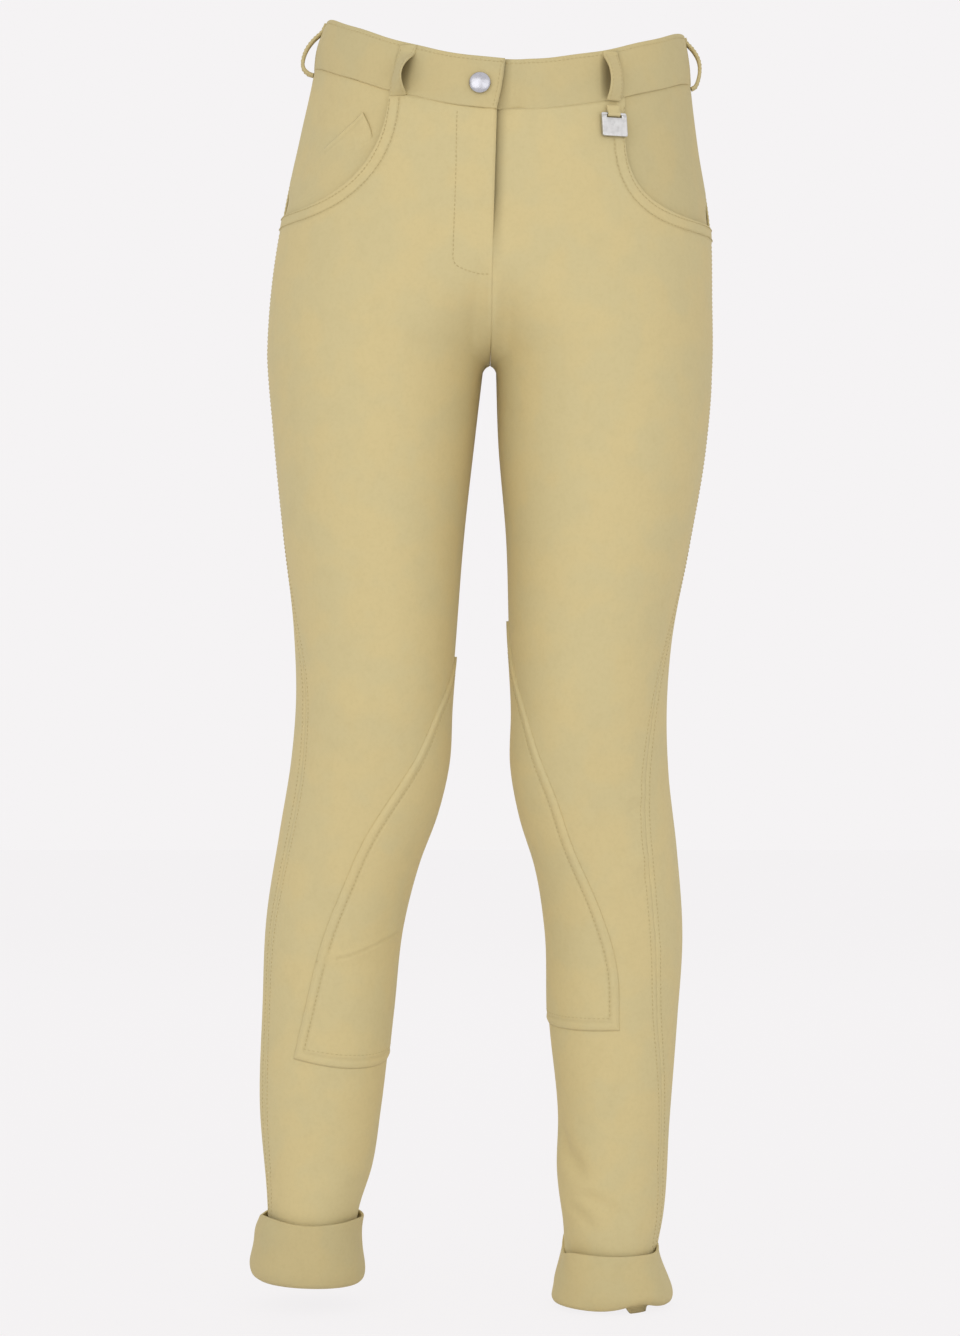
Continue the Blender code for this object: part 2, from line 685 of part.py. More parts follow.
def make_facing(side):
    """The cloth inside one pocket mouth, from the outseam to beneath the front."""
    side_top = waist_seam(side, 0.0) - SEAM_GAP
    side_low = SCOOP[side]["side_level"] - FACING_UNDERLAP
    least, more = FACING_TOP_TURN
    grid = []
    for r, angle in enumerate(scoop_angles(side, FACING_ROWS - 1)):
        down = r / (FACING_ROWS - 1)
        level, turn = scoop_point(side, angle)
        length = half_length(side, "front", level)
        start_level = side_top + (side_low - side_top) * down
        start_turn = SEAM_GAP / 2 / length
        end_level = level - FACING_UNDERLAP * math.sin(angle) ** 2
        end_turn = max(turn + FACING_UNDERLAP * math.cos(angle) ** 0.5 / length,
                       start_turn + least + more * (1 - down))
        line = []
        for c in range(FACING_COLUMNS):
            share = c / (FACING_COLUMNS - 1)
            here_turn = start_turn + (end_turn - start_turn) * share
            here_level = start_level + (end_level - start_level) * share
            if r == 0:
                here_level = waist_seam(side, here_turn) - SEAM_GAP
            line.append((here_level, here_turn))
        grid.append(line)
    name = f"pocket_facing_{side}"
    wall_on_skin(name, side, grid, facing_depth(side), CLOTH, cloth(name))


# Ticket pocket: (distance from the middle line, level) down its free edge, and at the
# outer ends of its top and its bottom.
TICKET_EDGE = ((0.1105, -0.0530), (0.1040, -0.0660), (0.1005, -0.0785))
TICKET_TOP_SIDE = (0.1500, -0.0850)
TICKET_LOW_SIDE = (0.1570, -0.1130)
TICKET_SAG = 0.012         # how far its bottom edge bows down
TICKET_WALL = 0.0010
TICKET_ROWS, TICKET_COLUMNS = 5, 6


def make_ticket_pocket():
    """The small slanted pocket that lies on the right facing, under the front's edge."""
    side = "right"
    depth_at = facing_depth(side)
    edge = np.array(TICKET_EDGE)
    outer_side = np.array((TICKET_TOP_SIDE, TICKET_LOW_SIDE))
    outer, inner = [], []
    for down in np.linspace(0.0, 1.0, TICKET_ROWS):
        start = np.array([np.interp(down * 2, (0, 1, 2), edge[:, i]) for i in (0, 1)])
        end = outer_side[0] + down * (outer_side[1] - outer_side[0])
        row_out, row_in = [], []
        for share in np.linspace(0.0, 1.0, TICKET_COLUMNS):
            width, level = start + (end - start) * share
            level -= TICKET_SAG * math.sin(math.pi * share) * down
            turn = turn_at_width(side, "front", level, width)
            stand = SEAM_GAP + FACET_ROOM - depth_at(level, turn)
            row_in.append(cloth_point(side, level, turn, stand))
            row_out.append(cloth_point(side, level, turn, stand + TICKET_WALL))
        outer.append(row_out)
        inner.append(row_in)
    wall_solid("ticket_pocket", outer, inner, cloth("ticket_pocket"))


# ================================================================ knee patches and cuffs
def column_turns(side, face, level):
    """Turns of a panel's columns at a level below the crotch."""
    sign = 1 if face == "front" else -1
    gap_turn = SEAM_GAP / 2 / half_length(side, face, level)
    start, end = outseam(side, level) + sign * gap_turn, sign * (1.0 - gap_turn)
    return [start + (end - start) * c / (PANEL_COLUMNS - 1) for c in range(PANEL_COLUMNS)]


def make_knee_patch(side):
    """A patch round the inseam, made from the facets of the front and the back."""
    bottom, top = PATCH_TABLE[side]["level"][[0, -1]]
    beyond = 0.06              # rows are taken this far past the patch's ends
    last = PANEL_COLUMNS - 1
    vertices, polygons = [], []
    rows = [v for v in leg_levels(side) if bottom - beyond < v < top + beyond]
    for level in rows:
        reach = smooth(PATCH_TABLE[side], "reach", level)
        ends = (level - bottom, top - level)
        front = column_turns(side, "front", level)
        back = column_turns(side, "back", level)
        for turn in front + back[-2::-1]:
            point, normal = skin(side, level, turn), outward(side, level, turn)
            inside = abs(turn) - 1.0 + reach * (1.0 if turn > 0 else PATCH_BACK_SHARE)
            vertices.append(np.array([*point, *normal, *ends, inside]))
    columns = 2 * last + 1
    for r in range(len(rows) - 1):
        for c in range(columns - 1):
            low, high = r * columns + c, (r + 1) * columns + c
            if c < last:
                polygons += [[low + 1, high + 1, high], [high, low, low + 1]]
            else:
                polygons += [[low, low + 1, high + 1], [high + 1, high, low]]
    for field in (6, 7, 8):
        polygons = clipped(polygons, vertices, field)
    patch_solid(f"knee_patch_{side}", polygons, vertices, SEAM_GAP + FACET_ROOM / 4,
                PATCH_WALL, cloth(f"knee_patch_{side}"))


def ring(side, level, outer, inner, face):
    """A ring round the leg, standing out by its own amount on each side."""
    width_out = smooth(OUTER_TABLE, side, level) + outer
    width_in = smooth(INNER_TABLE, side, level) - inner
    front = smooth(DEPTH_TABLE, "front", level) + face
    back = smooth(DEPTH_TABLE, "back", level) + face
    middle, half = (width_out + width_in) / 2, (width_out - width_in) / 2
    side_y = smooth(DEPTH_TABLE, "side_y", level)
    sign = 1 if side == "left" else -1
    power = 2.0 / SQUARENESS
    points = []
    for a in range(CUFF_AROUND):
        angle = 2 * math.pi * a / CUFF_AROUND
        cosine, sine = math.cos(angle), math.sin(angle)
        across = middle + half * math.copysign(abs(cosine) ** power, cosine)
        depth = back if sine > 0 else front
        y = side_y + depth * math.copysign(abs(sine) ** power, sine)
        world_x = sign * across + MIDDLE_LEAN * CROTCH
        points.append(np.array([world_x, y, level - HIP_TILT * world_x]))
    return points


def make_cuff(side):
    """A turned-up cuff: outside the leg, under its hem, and up inside it."""
    fold = CUFF[side]["fold_level"]
    rows = [dict(zip(CUFF_COLUMNS, row)) for row in CUFF[side]["rows"]]
    rings = []
    for row in rows:
        rings.append(ring(side, fold + row["height"], row["outer"], row["inner"], row["face"]))
    for row in reversed(rows[1:]):
        outsets = [row[name] - CUFF_WALL for name in ("outer", "inner", "face")]
        rings.append(ring(side, fold + row["height"], *outsets))
    floor = HEM[side] - 2 * SEAM_GAP
    beyond, inside = SEAM_GAP, -(CLOTH + SEAM_GAP + 2 * FACET_ROOM)
    top = fold + CUFF_INSIDE
    for level, outset in ((floor, beyond), (floor, inside), (top, inside),
                          (top, inside - CLOTH), (floor, inside - CLOTH), (fold, inside)):
        rings.append(ring(side, level, outset, outset, outset))
    loop_solid(f"cuff_{side}", rings, cloth(f"cuff_{side}"))


# ================================================================ belt loops
def frame_on(side, level, turn):
    """Sideways, up and out unit directions of the skin at a place."""
    out = outward(side, level, turn)
    sideways = unit(np.cross(np.array([0.0, 0.0, 1.0]), out))
    return sideways, np.cross(out, sideways), out


def strip_solid(name, centre_line, sideways, out_of, half_width, wall, finish):
    """A flat strip along a line; out_of gives the thickness direction at each point."""
    inner = [[point - sideways * half_width, point + sideways * half_width]
             for point in centre_line]
    outer = [[a + direction * wall, b + direction * wall]
             for (a, b), direction in zip(inner, out_of)]
    return wall_solid(name, outer, inner, finish)


def make_belt_loop(name, side, turn, standoff, peak):
    """A strip sewn down at both edges of the waistband, standing off between them."""
    top = waist_top(side, turn) - SEAM_GAP
    bottom = waist_seam(side, turn) + 2 * SEAM_GAP
    sideways, _, out = frame_on(side, (top + bottom) / 2, turn)
    line = []
    for i in range(LOOP_STEPS + 1):
        share = i / LOOP_STEPS
        level = top + (bottom - top) * share
        run = share / peak if share < peak else (1.0 - share) / (1.0 - peak)
        lifted = min(1.0, max(0.0, (run - 2 * LOOP_SEWN) / (1.0 - 2 * LOOP_SEWN)))
        rise = 2 * SEAM_GAP + standoff * math.sin(math.pi / 2 * lifted) ** LOOP_FULLNESS
        line.append(skin(side, level, turn) + out * rise)
    directions = []
    for i in range(len(line)):
        along = line[min(i + 1, len(line) - 1)] - line[max(i - 1, 0)]
        normal = unit(np.cross(sideways, along))
        directions.append(normal if np.dot(normal, out) > 0 else -normal)
    strip_solid(name, line, sideways, directions, LOOP_HALF_WIDTH, LOOP_WALL, cloth(name))


# ================================================================ button and tag
def make_button():
    """The domed waist button, turned about the band's normal."""
    width, level = BUTTON_PLACE
    turn = turn_at_width("right", "front", level, width)
    sideways, up, out = frame_on("right", level, turn)
    centre = cloth_point("right", level, turn, OVERLAP_STEP)
    points = [centre + out * BUTTON_OUTLINE[0][1]]
    faces = []
    turned = BUTTON_OUTLINE[1:-1]
    for radius, height in turned:
        for a in range(BUTTON_AROUND):
            angle = 2 * math.pi * a / BUTTON_AROUND
            points.append(centre + out * height + radius * (
                math.cos(angle) * sideways + math.sin(angle) * up))
    points.append(centre + out * BUTTON_OUTLINE[-1][1])
    last = len(points) - 1
    for a in range(BUTTON_AROUND):
        after = (a + 1) % BUTTON_AROUND
        faces.append((0, 1 + after, 1 + a))
        for r in range(len(turned) - 1):
            low, high = 1 + r * BUTTON_AROUND, 1 + (r + 1) * BUTTON_AROUND
            faces.append((low + a, low + after, high + after, high + a))
        top = 1 + (len(turned) - 1) * BUTTON_AROUND
        faces.append((top + a, top + after, last))
    new_object("waist_button", points, faces, metal("waist_button"))


def tag_frame():
    """Centre of the tag's bar and its sideways, up and out directions."""
    width, level = TAG_PLACE
    turn = turn_at_width("left", "front", level, width)
    sideways, up, out = frame_on("left", level - TAG_DROP / 2, turn)
    stand = SEAM_GAP + TAG_LOOP_WALL + TAG_LOOP_BORE
    return cloth_point("left", level, turn, stand), sideways, up, out


def make_tag_loop():
    """A closed loop of cloth tape: round the tag's bar below, pinched together above."""
    centre, sideways, up, out = tag_frame()
    middle_radius = TAG_LOOP_BORE + TAG_LOOP_WALL / 2
    pinch = (TAG_LOOP_WALL + SEAM_GAP) / 2
    path = []                      # (out, up) from the bar's axis, round the tape's middle
    for angle in np.linspace(0.0, math.pi, TAG_LOOP_BENDS):
        path.append((-middle_radius * math.cos(angle), -middle_radius * math.sin(angle)))
    rising = [(middle_radius - (middle_radius - pinch) * inward, TAG_LOOP_HEIGHT * height)
              for inward, height in TAG_LOOP_PINCH]
    ends = [(pinch * 0.6, TAG_LOOP_HEIGHT), (-pinch * 0.6, TAG_LOOP_HEIGHT)]
    path += rising + ends + [(-away, height) for away, height in reversed(rising)]
    rings = []
    for i, (away, height) in enumerate(path):
        before, after = path[i - 1], path[(i + 1) % len(path)]
        run = unit(np.array([after[0] - before[0], after[1] - before[1]]))
        normal = (run[1], -run[0])
        corners = []
        for wall, half in ((-0.5, -1), (-0.5, 1), (0.5, 1), (0.5, -1)):
            corners.append(centre + out * (away + normal[0] * wall * TAG_LOOP_WALL)
                           + up * (height + normal[1] * wall * TAG_LOOP_WALL)
                           + sideways * half * TAG_LOOP_HALF_WIDTH)
        rings.append(corners)
    loop_solid("tag_loop", rings, cloth("tag_loop"))


def rounded_rectangle(half_width, top, bottom, corner):
    """Corners of a rectangle with rounded corners, as (sideways, up) pairs."""
    points = []
    for x_sign, y_edge, y_sign, start in ((1, top, 1, 0), (-1, top, 1, 90),
                                          (-1, bottom, -1, 180), (1, bottom, -1, 270)):
        for i in range(4):
            angle = math.radians(start + 30 * i)
            points.append((x_sign * (half_width - corner) + corner * math.cos(angle),
                           y_edge - y_sign * corner + corner * math.sin(angle)))
    return points


def make_metal_tag():
    """The slotted tag that hangs on the tape; its own frame is the bar's axis."""
    centre, sideways, up, out = tag_frame()
    plate = rounded_rectangle(TAG_WIDTH / 2, TAG_BAR, -TAG_DROP, TAG_CORNER)
    slot = rounded_rectangle(SLOT_WIDTH / 2, -TAG_BAR, -SLOT_DROP, 0.0006)
    rings = []
    for outline, face in ((plate, 0.5), (slot, 0.5), (slot, -0.5), (plate, -0.5)):
        rings.append([centre + sideways * x + up * y
                      + out * face * (TAG_BAR_WALL if y > -TAG_BAR - 0.0004 else TAG_WALL)
                      for x, y in outline])
    loop_solid("metal_tag", rings, metal("metal_tag"))


# ================================================================ the garment
def main():
    for old in list(bpy.data.objects):
        bpy.data.objects.remove(old, do_unlink=True)
    make_panels()
    make_waistband()
    make_fly_shield()
    for side in ("right", "left"):
        make_facing(side)
        make_knee_patch(side)
        make_cuff(side)
    make_ticket_pocket()
    for row in LOOPS:
        make_belt_loop(**dict(zip(LOOP_COLUMNS, row)))
    make_button()
    make_tag_loop()
    make_metal_tag()


main()
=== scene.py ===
"""Jodhpurs: the looks of a filled-out pair of stretch-cotton riding trousers.

Every cloth piece lies on one skin, worked out as in the solid model from a few named
widths and depths at each level. "level" is the height in the garment's own frame and
"turn" runs along half a section, from the side (0) to the centre front or the inseam by
the front (+1) or by the back (-1). Lengths are metres.
"""

import logging
import math
from collections.abc import Sequence
from dataclasses import dataclass, field
from enum import Enum
from functools import cached_property

import bpy
import numpy as np
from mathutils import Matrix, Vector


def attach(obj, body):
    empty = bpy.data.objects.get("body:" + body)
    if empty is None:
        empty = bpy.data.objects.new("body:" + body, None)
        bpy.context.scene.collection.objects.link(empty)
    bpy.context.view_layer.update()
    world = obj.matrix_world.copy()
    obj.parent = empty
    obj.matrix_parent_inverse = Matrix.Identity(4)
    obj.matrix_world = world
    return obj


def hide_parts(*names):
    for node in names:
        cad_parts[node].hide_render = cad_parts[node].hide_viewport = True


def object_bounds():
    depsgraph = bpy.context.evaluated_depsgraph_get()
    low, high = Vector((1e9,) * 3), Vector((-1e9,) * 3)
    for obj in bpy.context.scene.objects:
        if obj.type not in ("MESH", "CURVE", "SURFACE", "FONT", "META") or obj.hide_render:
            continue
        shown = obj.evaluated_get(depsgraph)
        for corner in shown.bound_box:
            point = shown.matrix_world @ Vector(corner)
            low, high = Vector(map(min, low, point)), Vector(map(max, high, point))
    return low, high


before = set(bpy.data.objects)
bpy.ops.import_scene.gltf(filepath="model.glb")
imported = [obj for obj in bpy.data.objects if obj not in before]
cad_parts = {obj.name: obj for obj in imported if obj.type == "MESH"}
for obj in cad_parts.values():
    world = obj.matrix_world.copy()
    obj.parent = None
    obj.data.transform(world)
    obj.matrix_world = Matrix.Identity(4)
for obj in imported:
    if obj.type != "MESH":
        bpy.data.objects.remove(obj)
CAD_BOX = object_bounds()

Array = np.ndarray
Pair = tuple[float, float]
Triple = tuple[float, float, float]
Socket = bpy.types.NodeSocket
Piece = bpy.types.Object
Material = bpy.types.Material
log = logging.getLogger("jodhpurs")


class Side(Enum):
    """The wearer's side."""

    RIGHT = "right"
    LEFT = "left"

    @property
    def sign(self) -> int:
        """World X direction of this side."""
        return -1 if self is Side.RIGHT else 1


class Face(Enum):
    """The front or the back of a leg."""

    FRONT = "front"
    BACK = "back"

    @property
    def sign(self) -> int:
        """Sign of a turn on this face."""
        return 1 if self is Face.FRONT else -1


RIGHT, LEFT = Side
FRONT, BACK = Face


def by_side(right: object, left: object) -> object:
    """A dataclass field with one value for each side."""
    return field(default_factory=lambda: {RIGHT: right, LEFT: left})


def by_face(front: object, back: object) -> object:
    """A dataclass field with one value for each face."""
    return field(default_factory=lambda: {FRONT: front, BACK: back})


# ==== small numeric helpers
def smoothstep(low: float, high: float, value: Array) -> Array:
    """Ease values from 0 at low to 1 at high: 3t^2 - 2t^3 of the clipped share t."""
    share = np.clip((np.asarray(value, float) - low) / (high - low), 0.0, 1.0)
    return share * share * (3.0 - 2.0 * share)


def gaussian(distance: Array, width: float) -> Array:
    """Bell curve exp(-(d / width)^2)."""
    return np.exp(-((np.asarray(distance) / width) ** 2))


def unit(vectors: Array) -> Array:
    """Vectors at length one along the last axis."""
    return vectors / np.maximum(np.linalg.norm(vectors, axis=-1, keepdims=True), 1e-12)


def paired(first: Array | float, second: Array | float) -> list[Array]:
    """Two values as arrays of one shape."""
    return np.broadcast_arrays(np.asarray(first, float), np.asarray(second, float))


def walked_along(points: Array) -> Array:
    """Length walked from the first point to each point of a line."""
    steps = np.linalg.norm(np.diff(points, axis=0), axis=1)
    return np.concatenate([[0.0], np.cumsum(steps)])


def resampled(points: Array, count: int) -> Array:
    """A line's points interpolated at equal shares of its walked length, count in all."""
    walked = walked_along(points)
    even = np.linspace(0.0, walked[-1], count)
    return np.stack([np.interp(even, walked, column) for column in points.T], axis=1)


def through(points: Sequence[Sequence[float]], count: int) -> Array:
    """A smooth line through control points: a Catmull-Rom curve, evenly spaced.

    Each stretch is the usual cubic of its two ends and their neighbours.

    Args:
        points: Control points.
        count: Points to return.

    Returns:
        The line's points.
    """
    given = np.asarray(points, float)
    if len(given) < 3:
        return resampled(given, count)
    padded = np.concatenate([[2 * given[0] - given[1]], given, [2 * given[-1] - given[-2]]])
    t = np.linspace(0.0, 1.0, 24, endpoint=False)[None, :, None]
    a, b, c, d = (padded[i:len(padded) - 3 + i][:, None, :] for i in range(4))
    curve = 0.5 * (2 * b + (c - a) * t + (2 * a - 5 * b + 4 * c - d) * t**2
                   + (3 * b - a - 3 * c + d) * t**3)
    return resampled(np.concatenate([curve.reshape(-1, given.shape[1]), given[-1:]]), count)


def distance_to_line(points: Array, line: Array, chunk: int = 4000) -> tuple[Array, Array]:
    """Distance from points to a polyline, and the share of its length at the nearest place.

    Each point is projected on every straight stretch, and the nearest projection is kept.

    Args:
        points: Points, with coordinates along the last axis.
        line: The polyline's points.
        chunk: Points handled at once.

    Returns:
        Distances and shares, shaped as the points.
    """
    flat = points.reshape(-1, points.shape[-1])
    starts, runs = line[:-1], np.diff(line, axis=0)
    squares = np.maximum((runs**2).sum(1), 1e-18)
    walked = walked_along(line)
    distance, share = np.empty(len(flat)), np.empty(len(flat))
    for first in range(0, len(flat), chunk):
        part = flat[first:first + chunk]
        away = part[:, None, :] - starts[None]
        t = np.clip((away * runs[None]).sum(2) / squares[None], 0.0, 1.0)
        gaps = np.linalg.norm(away - t[..., None] * runs[None], axis=2)
        best = gaps.argmin(1)
        rows = np.arange(len(part))
        distance[first:first + chunk] = gaps[rows, best]
        share[first:first + chunk] = (
            walked[best] + t[rows, best] * np.diff(walked)[best]) / walked[-1]
    return distance.reshape(points.shape[:-1]), share.reshape(points.shape[:-1])


def between(start: Array, end: Array, share: Array) -> Array:
    """A row from each start to its end, at the shares along it."""
    return start[:, None] + (end - start)[:, None] * share


def eased_ends(count: int, pull: float = 0.11) -> Array:
    """Shares from 0 to 1 that crowd towards both ends: t - pull * sin(2 pi t)."""
    t = np.linspace(0.0, 1.0, count)
    return t - pull * np.sin(2 * math.pi * t)


# ==== the skin
@dataclass(frozen=True)
class LevelTable:
    """A short table of sizes by level."""

    columns: tuple[str, ...]  # column names, the first of them the level (or height)
    rows: tuple[tuple[float, ...], ...]  # the rows, in any order

    def at(self, name: str, level: Array) -> Array:
        """Values of a column: a cubic through its rows, flat beyond both ends.

        Args:
            name: Column to read.
            level: Levels to read it at.

        Returns:
            The values, shaped as level.
        """
        ordered = np.array(sorted(self.rows))
        knots, values = ordered[:, 0], ordered[:, self.columns.index(name)]
        slopes = np.gradient(values, knots)
        clipped = np.clip(level, knots[0], knots[-1])
        i = np.clip(np.searchsorted(knots, clipped, side="right") - 1, 0, len(knots) - 2)
        step = knots[i + 1] - knots[i]
        t = (clipped - knots[i]) / step
        return ((2 * t**3 - 3 * t**2 + 1) * values[i] + (t**3 - 2 * t**2 + t) * step * slopes[i]
                + (3 * t**2 - 2 * t**3) * values[i + 1] + (t**3 - t**2) * step * slopes[i + 1])


BY_SIDE = ("level", "right", "left")


@dataclass(frozen=True)
class GarmentSizes:
    """The driving sizes, the same as the solid model's."""

    hip_tilt: float = 0.04
    middle_lean: float = 0.05
    crotch: float = -0.24
    crotch_arch: float = 0.004
    cleft_rounding: float = 0.008
    squareness: float = 2.1
    seam_gap: float = 0.0003
    meeting: float = 0.00002
    cloth: float = 0.0016
    hem: dict = by_side(-0.9735, -0.9825)
    waist_side: float = 0.029
    waist_dip: dict = by_face((0.04, 1.85), (0.011, 2.0))
    band_height: float = 0.04
    lap_rise: dict = by_side(0.0014, -0.0026)
    fly_end: float = -0.165
    fly_lean: Pair = (0.0019, 0.0044)
    fly_under: float = 0.006
    fly_sink: float = 0.0036
    outer: LevelTable = LevelTable(BY_SIDE, ((0.029, 0.1435, 0.1418), (0.005, 0.1506, 0.1468),
        (-0.012, 0.1522, 0.1492), (-0.06, 0.16, 0.1574), (-0.12, 0.17, 0.1698),
        (-0.18, 0.1766, 0.1742), (-0.24, 0.1776, 0.1768), (-0.3, 0.1728, 0.172),
        (-0.38, 0.1648, 0.1584), (-0.46, 0.156, 0.144), (-0.515, 0.1545, 0.1406),
        (-0.56, 0.1584, 0.1424), (-0.62, 0.1684, 0.1494), (-0.69, 0.1794, 0.1544),
        (-0.76, 0.1826, 0.1502), (-0.84, 0.1846, 0.144), (-0.915, 0.1784, 0.1386),
        (-0.945, 0.1772, 0.1332), (-0.985, 0.1766, 0.1322)))
    inner: LevelTable = LevelTable(BY_SIDE, ((-0.24, 0.005, 0.0046), (-0.3, 0.012, 0.0064),
        (-0.38, 0.0208, 0.0128), (-0.46, 0.027, 0.0152), (-0.515, 0.0312, 0.018),
        (-0.56, 0.0338, 0.0176), (-0.6, 0.043, 0.0248), (-0.64, 0.0576, 0.0372),
        (-0.69, 0.0704, 0.0452), (-0.76, 0.0784, 0.0472), (-0.84, 0.0876, 0.0546),
        (-0.885, 0.0945, 0.0538), (-0.92, 0.1052, 0.0584), (-0.985, 0.1066, 0.0592)))
    depth: LevelTable = LevelTable(("level", "side_y", "front", "back", "lobe"),
        ((0.029, 0.0, 0.096, 0.092, 0.02), (-0.012, 0.0, 0.099, 0.0985, 0.04),
        (-0.06, 0.0, 0.104, 0.109, 0.09), (-0.12, 0.0, 0.1085, 0.124, 0.22),
        (-0.18, -0.002, 0.108, 0.133, 0.38), (-0.24, -0.004, 0.104, 0.121, 0.5),
        (-0.3, -0.006, 0.0985, 0.1, 0.5), (-0.38, -0.01, 0.0885, 0.0825, 0.5),
        (-0.46, -0.012, 0.078, 0.069, 0.5), (-0.515, -0.011, 0.0715, 0.0625, 0.5),
        (-0.56, -0.005, 0.066, 0.0625, 0.5), (-0.62, 0.003, 0.06, 0.0645, 0.5),
        (-0.69, 0.01, 0.055, 0.065, 0.5), (-0.76, 0.012, 0.052, 0.06, 0.5),
        (-0.84, 0.01, 0.0485, 0.0515, 0.5), (-0.92, 0.006, 0.0465, 0.0465, 0.5),
        (-0.985, 0.004, 0.0465, 0.046, 0.5)))
    outseam: LevelTable = LevelTable(BY_SIDE, ((-0.3, 0.0, 0.0), (-0.38, 0.035, 0.04),
        (-0.44, 0.1, 0.115), (-0.49, 0.18, 0.2), (-0.56, 0.205, 0.275), (-0.65, 0.19, 0.32),
        (-0.74, 0.15, 0.29), (-0.83, 0.155, 0.205), (-0.985, 0.145, 0.15)))
    crotch_curve: dict = by_face((-0.15, 2.2), (-0.13, 2.4))
    scoop: dict = by_side((0.0895, -0.044, -0.13, 2.1), (0.0955, -0.042, -0.125, 3.0))


class Skin:
    """The outer surface, looked up from dense charts of sections.

    Each chart holds half sections at many levels, at evenly spaced turns, and a point is
    read from it by linear interpolation along the level and along the turn.
    """

    SAMPLES = 90
    TURNS = 181
    EASE = 0.45
    EASED = (0.8, 1.0)

    def __init__(self, sizes: GarmentSizes) -> None:
        """Work out the charts of all four half sections."""
        self.sizes = sizes
        fine = sizes.crotch + np.linspace(-0.008, 0.008, 65)
        coarse = np.linspace(-1.0, 0.04, 561)
        self.levels = np.unique(np.concatenate([coarse, fine]))
        self.charts = {(side, face): self._chart(side, face) for side in Side for face in Face}

    def inner_edge(self, side: Side, level: Array) -> Array:
        """Distance from the middle line to the inner end of a section."""
        s = self.sizes
        opening = np.sqrt(np.clip((s.crotch - level) / s.crotch_arch, 0.0, 1.0))
        return s.meeting + (s.inner.at(side.value, level) - s.meeting) * opening

    def crotch_reach(self, face: Face, level: Array) -> Array:
        """How far out the crotch curve stands, as a share: (1 - run^n)^(1/n)."""
        start, fullness = self.sizes.crotch_curve[face]
        run = np.clip((start - level) / (start - self.sizes.crotch), 0.0, 1.0)
        return (1.0 - run**fullness) ** (1.0 / fullness)

    def eased_narrowing(self, face: Face, level: Array) -> Array:
        """How far the crotch curve draws a section in away from the seam.

        With t the share of the way up from the crotch and e the easing, it is
        1 - (1 + e) t^2 / (t + e): it leaves the crotch level without a crease.
        """
        start, _ = self.sizes.crotch_curve[face]
        up = np.clip((level - self.sizes.crotch) / (start - self.sizes.crotch), 0.0, 1.0)
        return 1.0 - (1.0 + self.EASE) * up**2 / (up + self.EASE)

    def _chart(self, side: Side, face: Face) -> tuple[Array, Array]:
        """Half sections at all levels, resampled to even turns.

        From the side to the fullest point a section is a quarter superellipse, and from
        there to the inner end another one, narrowed above the crotch and rounded where
        the two legs meet.

        Returns:
            Distance from the middle line and y, by level and turn, and the half lengths.
        """
        s, level = self.sizes, self.levels[:, None]
        above = level >= s.crotch
        outer = s.outer.at(side.value, level)
        inner = self.inner_edge(side, level)
        depth = s.depth.at(face.value, level)
        reach = self.crotch_reach(face, level)
        middle = np.where(above, s.depth.at("lobe", level) * outer, (outer + inner) / 2)
        power = 2.0 / s.squareness
        angle = np.linspace(0.0, math.pi / 2, self.SAMPLES)[None]
        x_side = middle + (outer - middle) * np.cos(angle).clip(0.0) ** power
        y_side = depth * np.sin(angle) ** power
        x_in = middle - (middle - inner) * np.sin(angle[:, 1:])
        narrowing = np.where(above, (1.0 - reach**s.squareness) ** (1.0 / s.squareness), 1.0)
        narrowing = narrowing + (self.eased_narrowing(face, level) - narrowing) * (
            1.0 - smoothstep(*self.EASED, np.sin(angle[:, 1:])))
        rounding = np.where(above, s.cleft_rounding * reach, 0.0)
        run, span = x_in - inner, np.maximum(middle - inner, 1e-6)
        rounded = run * run * (1 + rounding / span) / (run + rounding + 1e-9)
        share = np.clip(1.0 - rounded / span, 0.0, 1.0) * narrowing
        y_in = depth * (1.0 - share**s.squareness).clip(0.0) ** (1.0 / s.squareness)
        x = np.concatenate([x_side, x_in], axis=1)
        y = np.concatenate([y_side, y_in], axis=1)
        steps = np.hypot(np.diff(x, axis=1), np.diff(y, axis=1))
        walked = np.concatenate([np.zeros_like(level), np.cumsum(steps, axis=1)], axis=1)
        lengths = walked[:, -1]
        rows = 2.0 * np.arange(len(self.levels))[:, None]
        known = (walked / lengths[:, None] + rows).ravel()
        wanted = (np.linspace(0.0, 1.0, self.TURNS)[None] + rows).ravel()
        even_x, even_y = (np.interp(wanted, known, given.ravel()).reshape(len(rows), -1)
                          for given in (x, y))
        return np.stack([even_x, s.depth.at("side_y", level) - face.sign * even_y]), lengths

    def _read(self, side: Side, face: Face, level: Array, share: Array) -> Array:
        """Distance from the middle line and y at levels and shares of the half section."""
        chart = self.charts[side, face][0]
        row = np.clip(np.searchsorted(self.levels, level, side="right") - 1, 0,
                      len(self.levels) - 2)
        down = (level - self.levels[row]) / (self.levels[row + 1] - self.levels[row])
        place = np.clip(share, 0.0, 1.0) * (self.TURNS - 1)
        column = np.minimum(place.astype(int), self.TURNS - 2)
        right = place - column
        down = np.clip(down, 0.0, 1.0)
        low, high = (chart[:, here, column] * (1 - right) + chart[:, here, column + 1] * right
                     for here in (row, row + 1))
        return low * (1 - down) + high * down

    def length(self, side: Side, face: Face, level: Array) -> Array:
        """Length of half a section."""
        return np.interp(level, self.levels, self.charts[side, face][1])

    def length_at(self, side: Side, level: Array, turn: Array) -> Array:
        """Length of half a section on each turn's own face."""
        return np.where(turn >= 0, self.length(side, FRONT, level),
                        self.length(side, BACK, level))

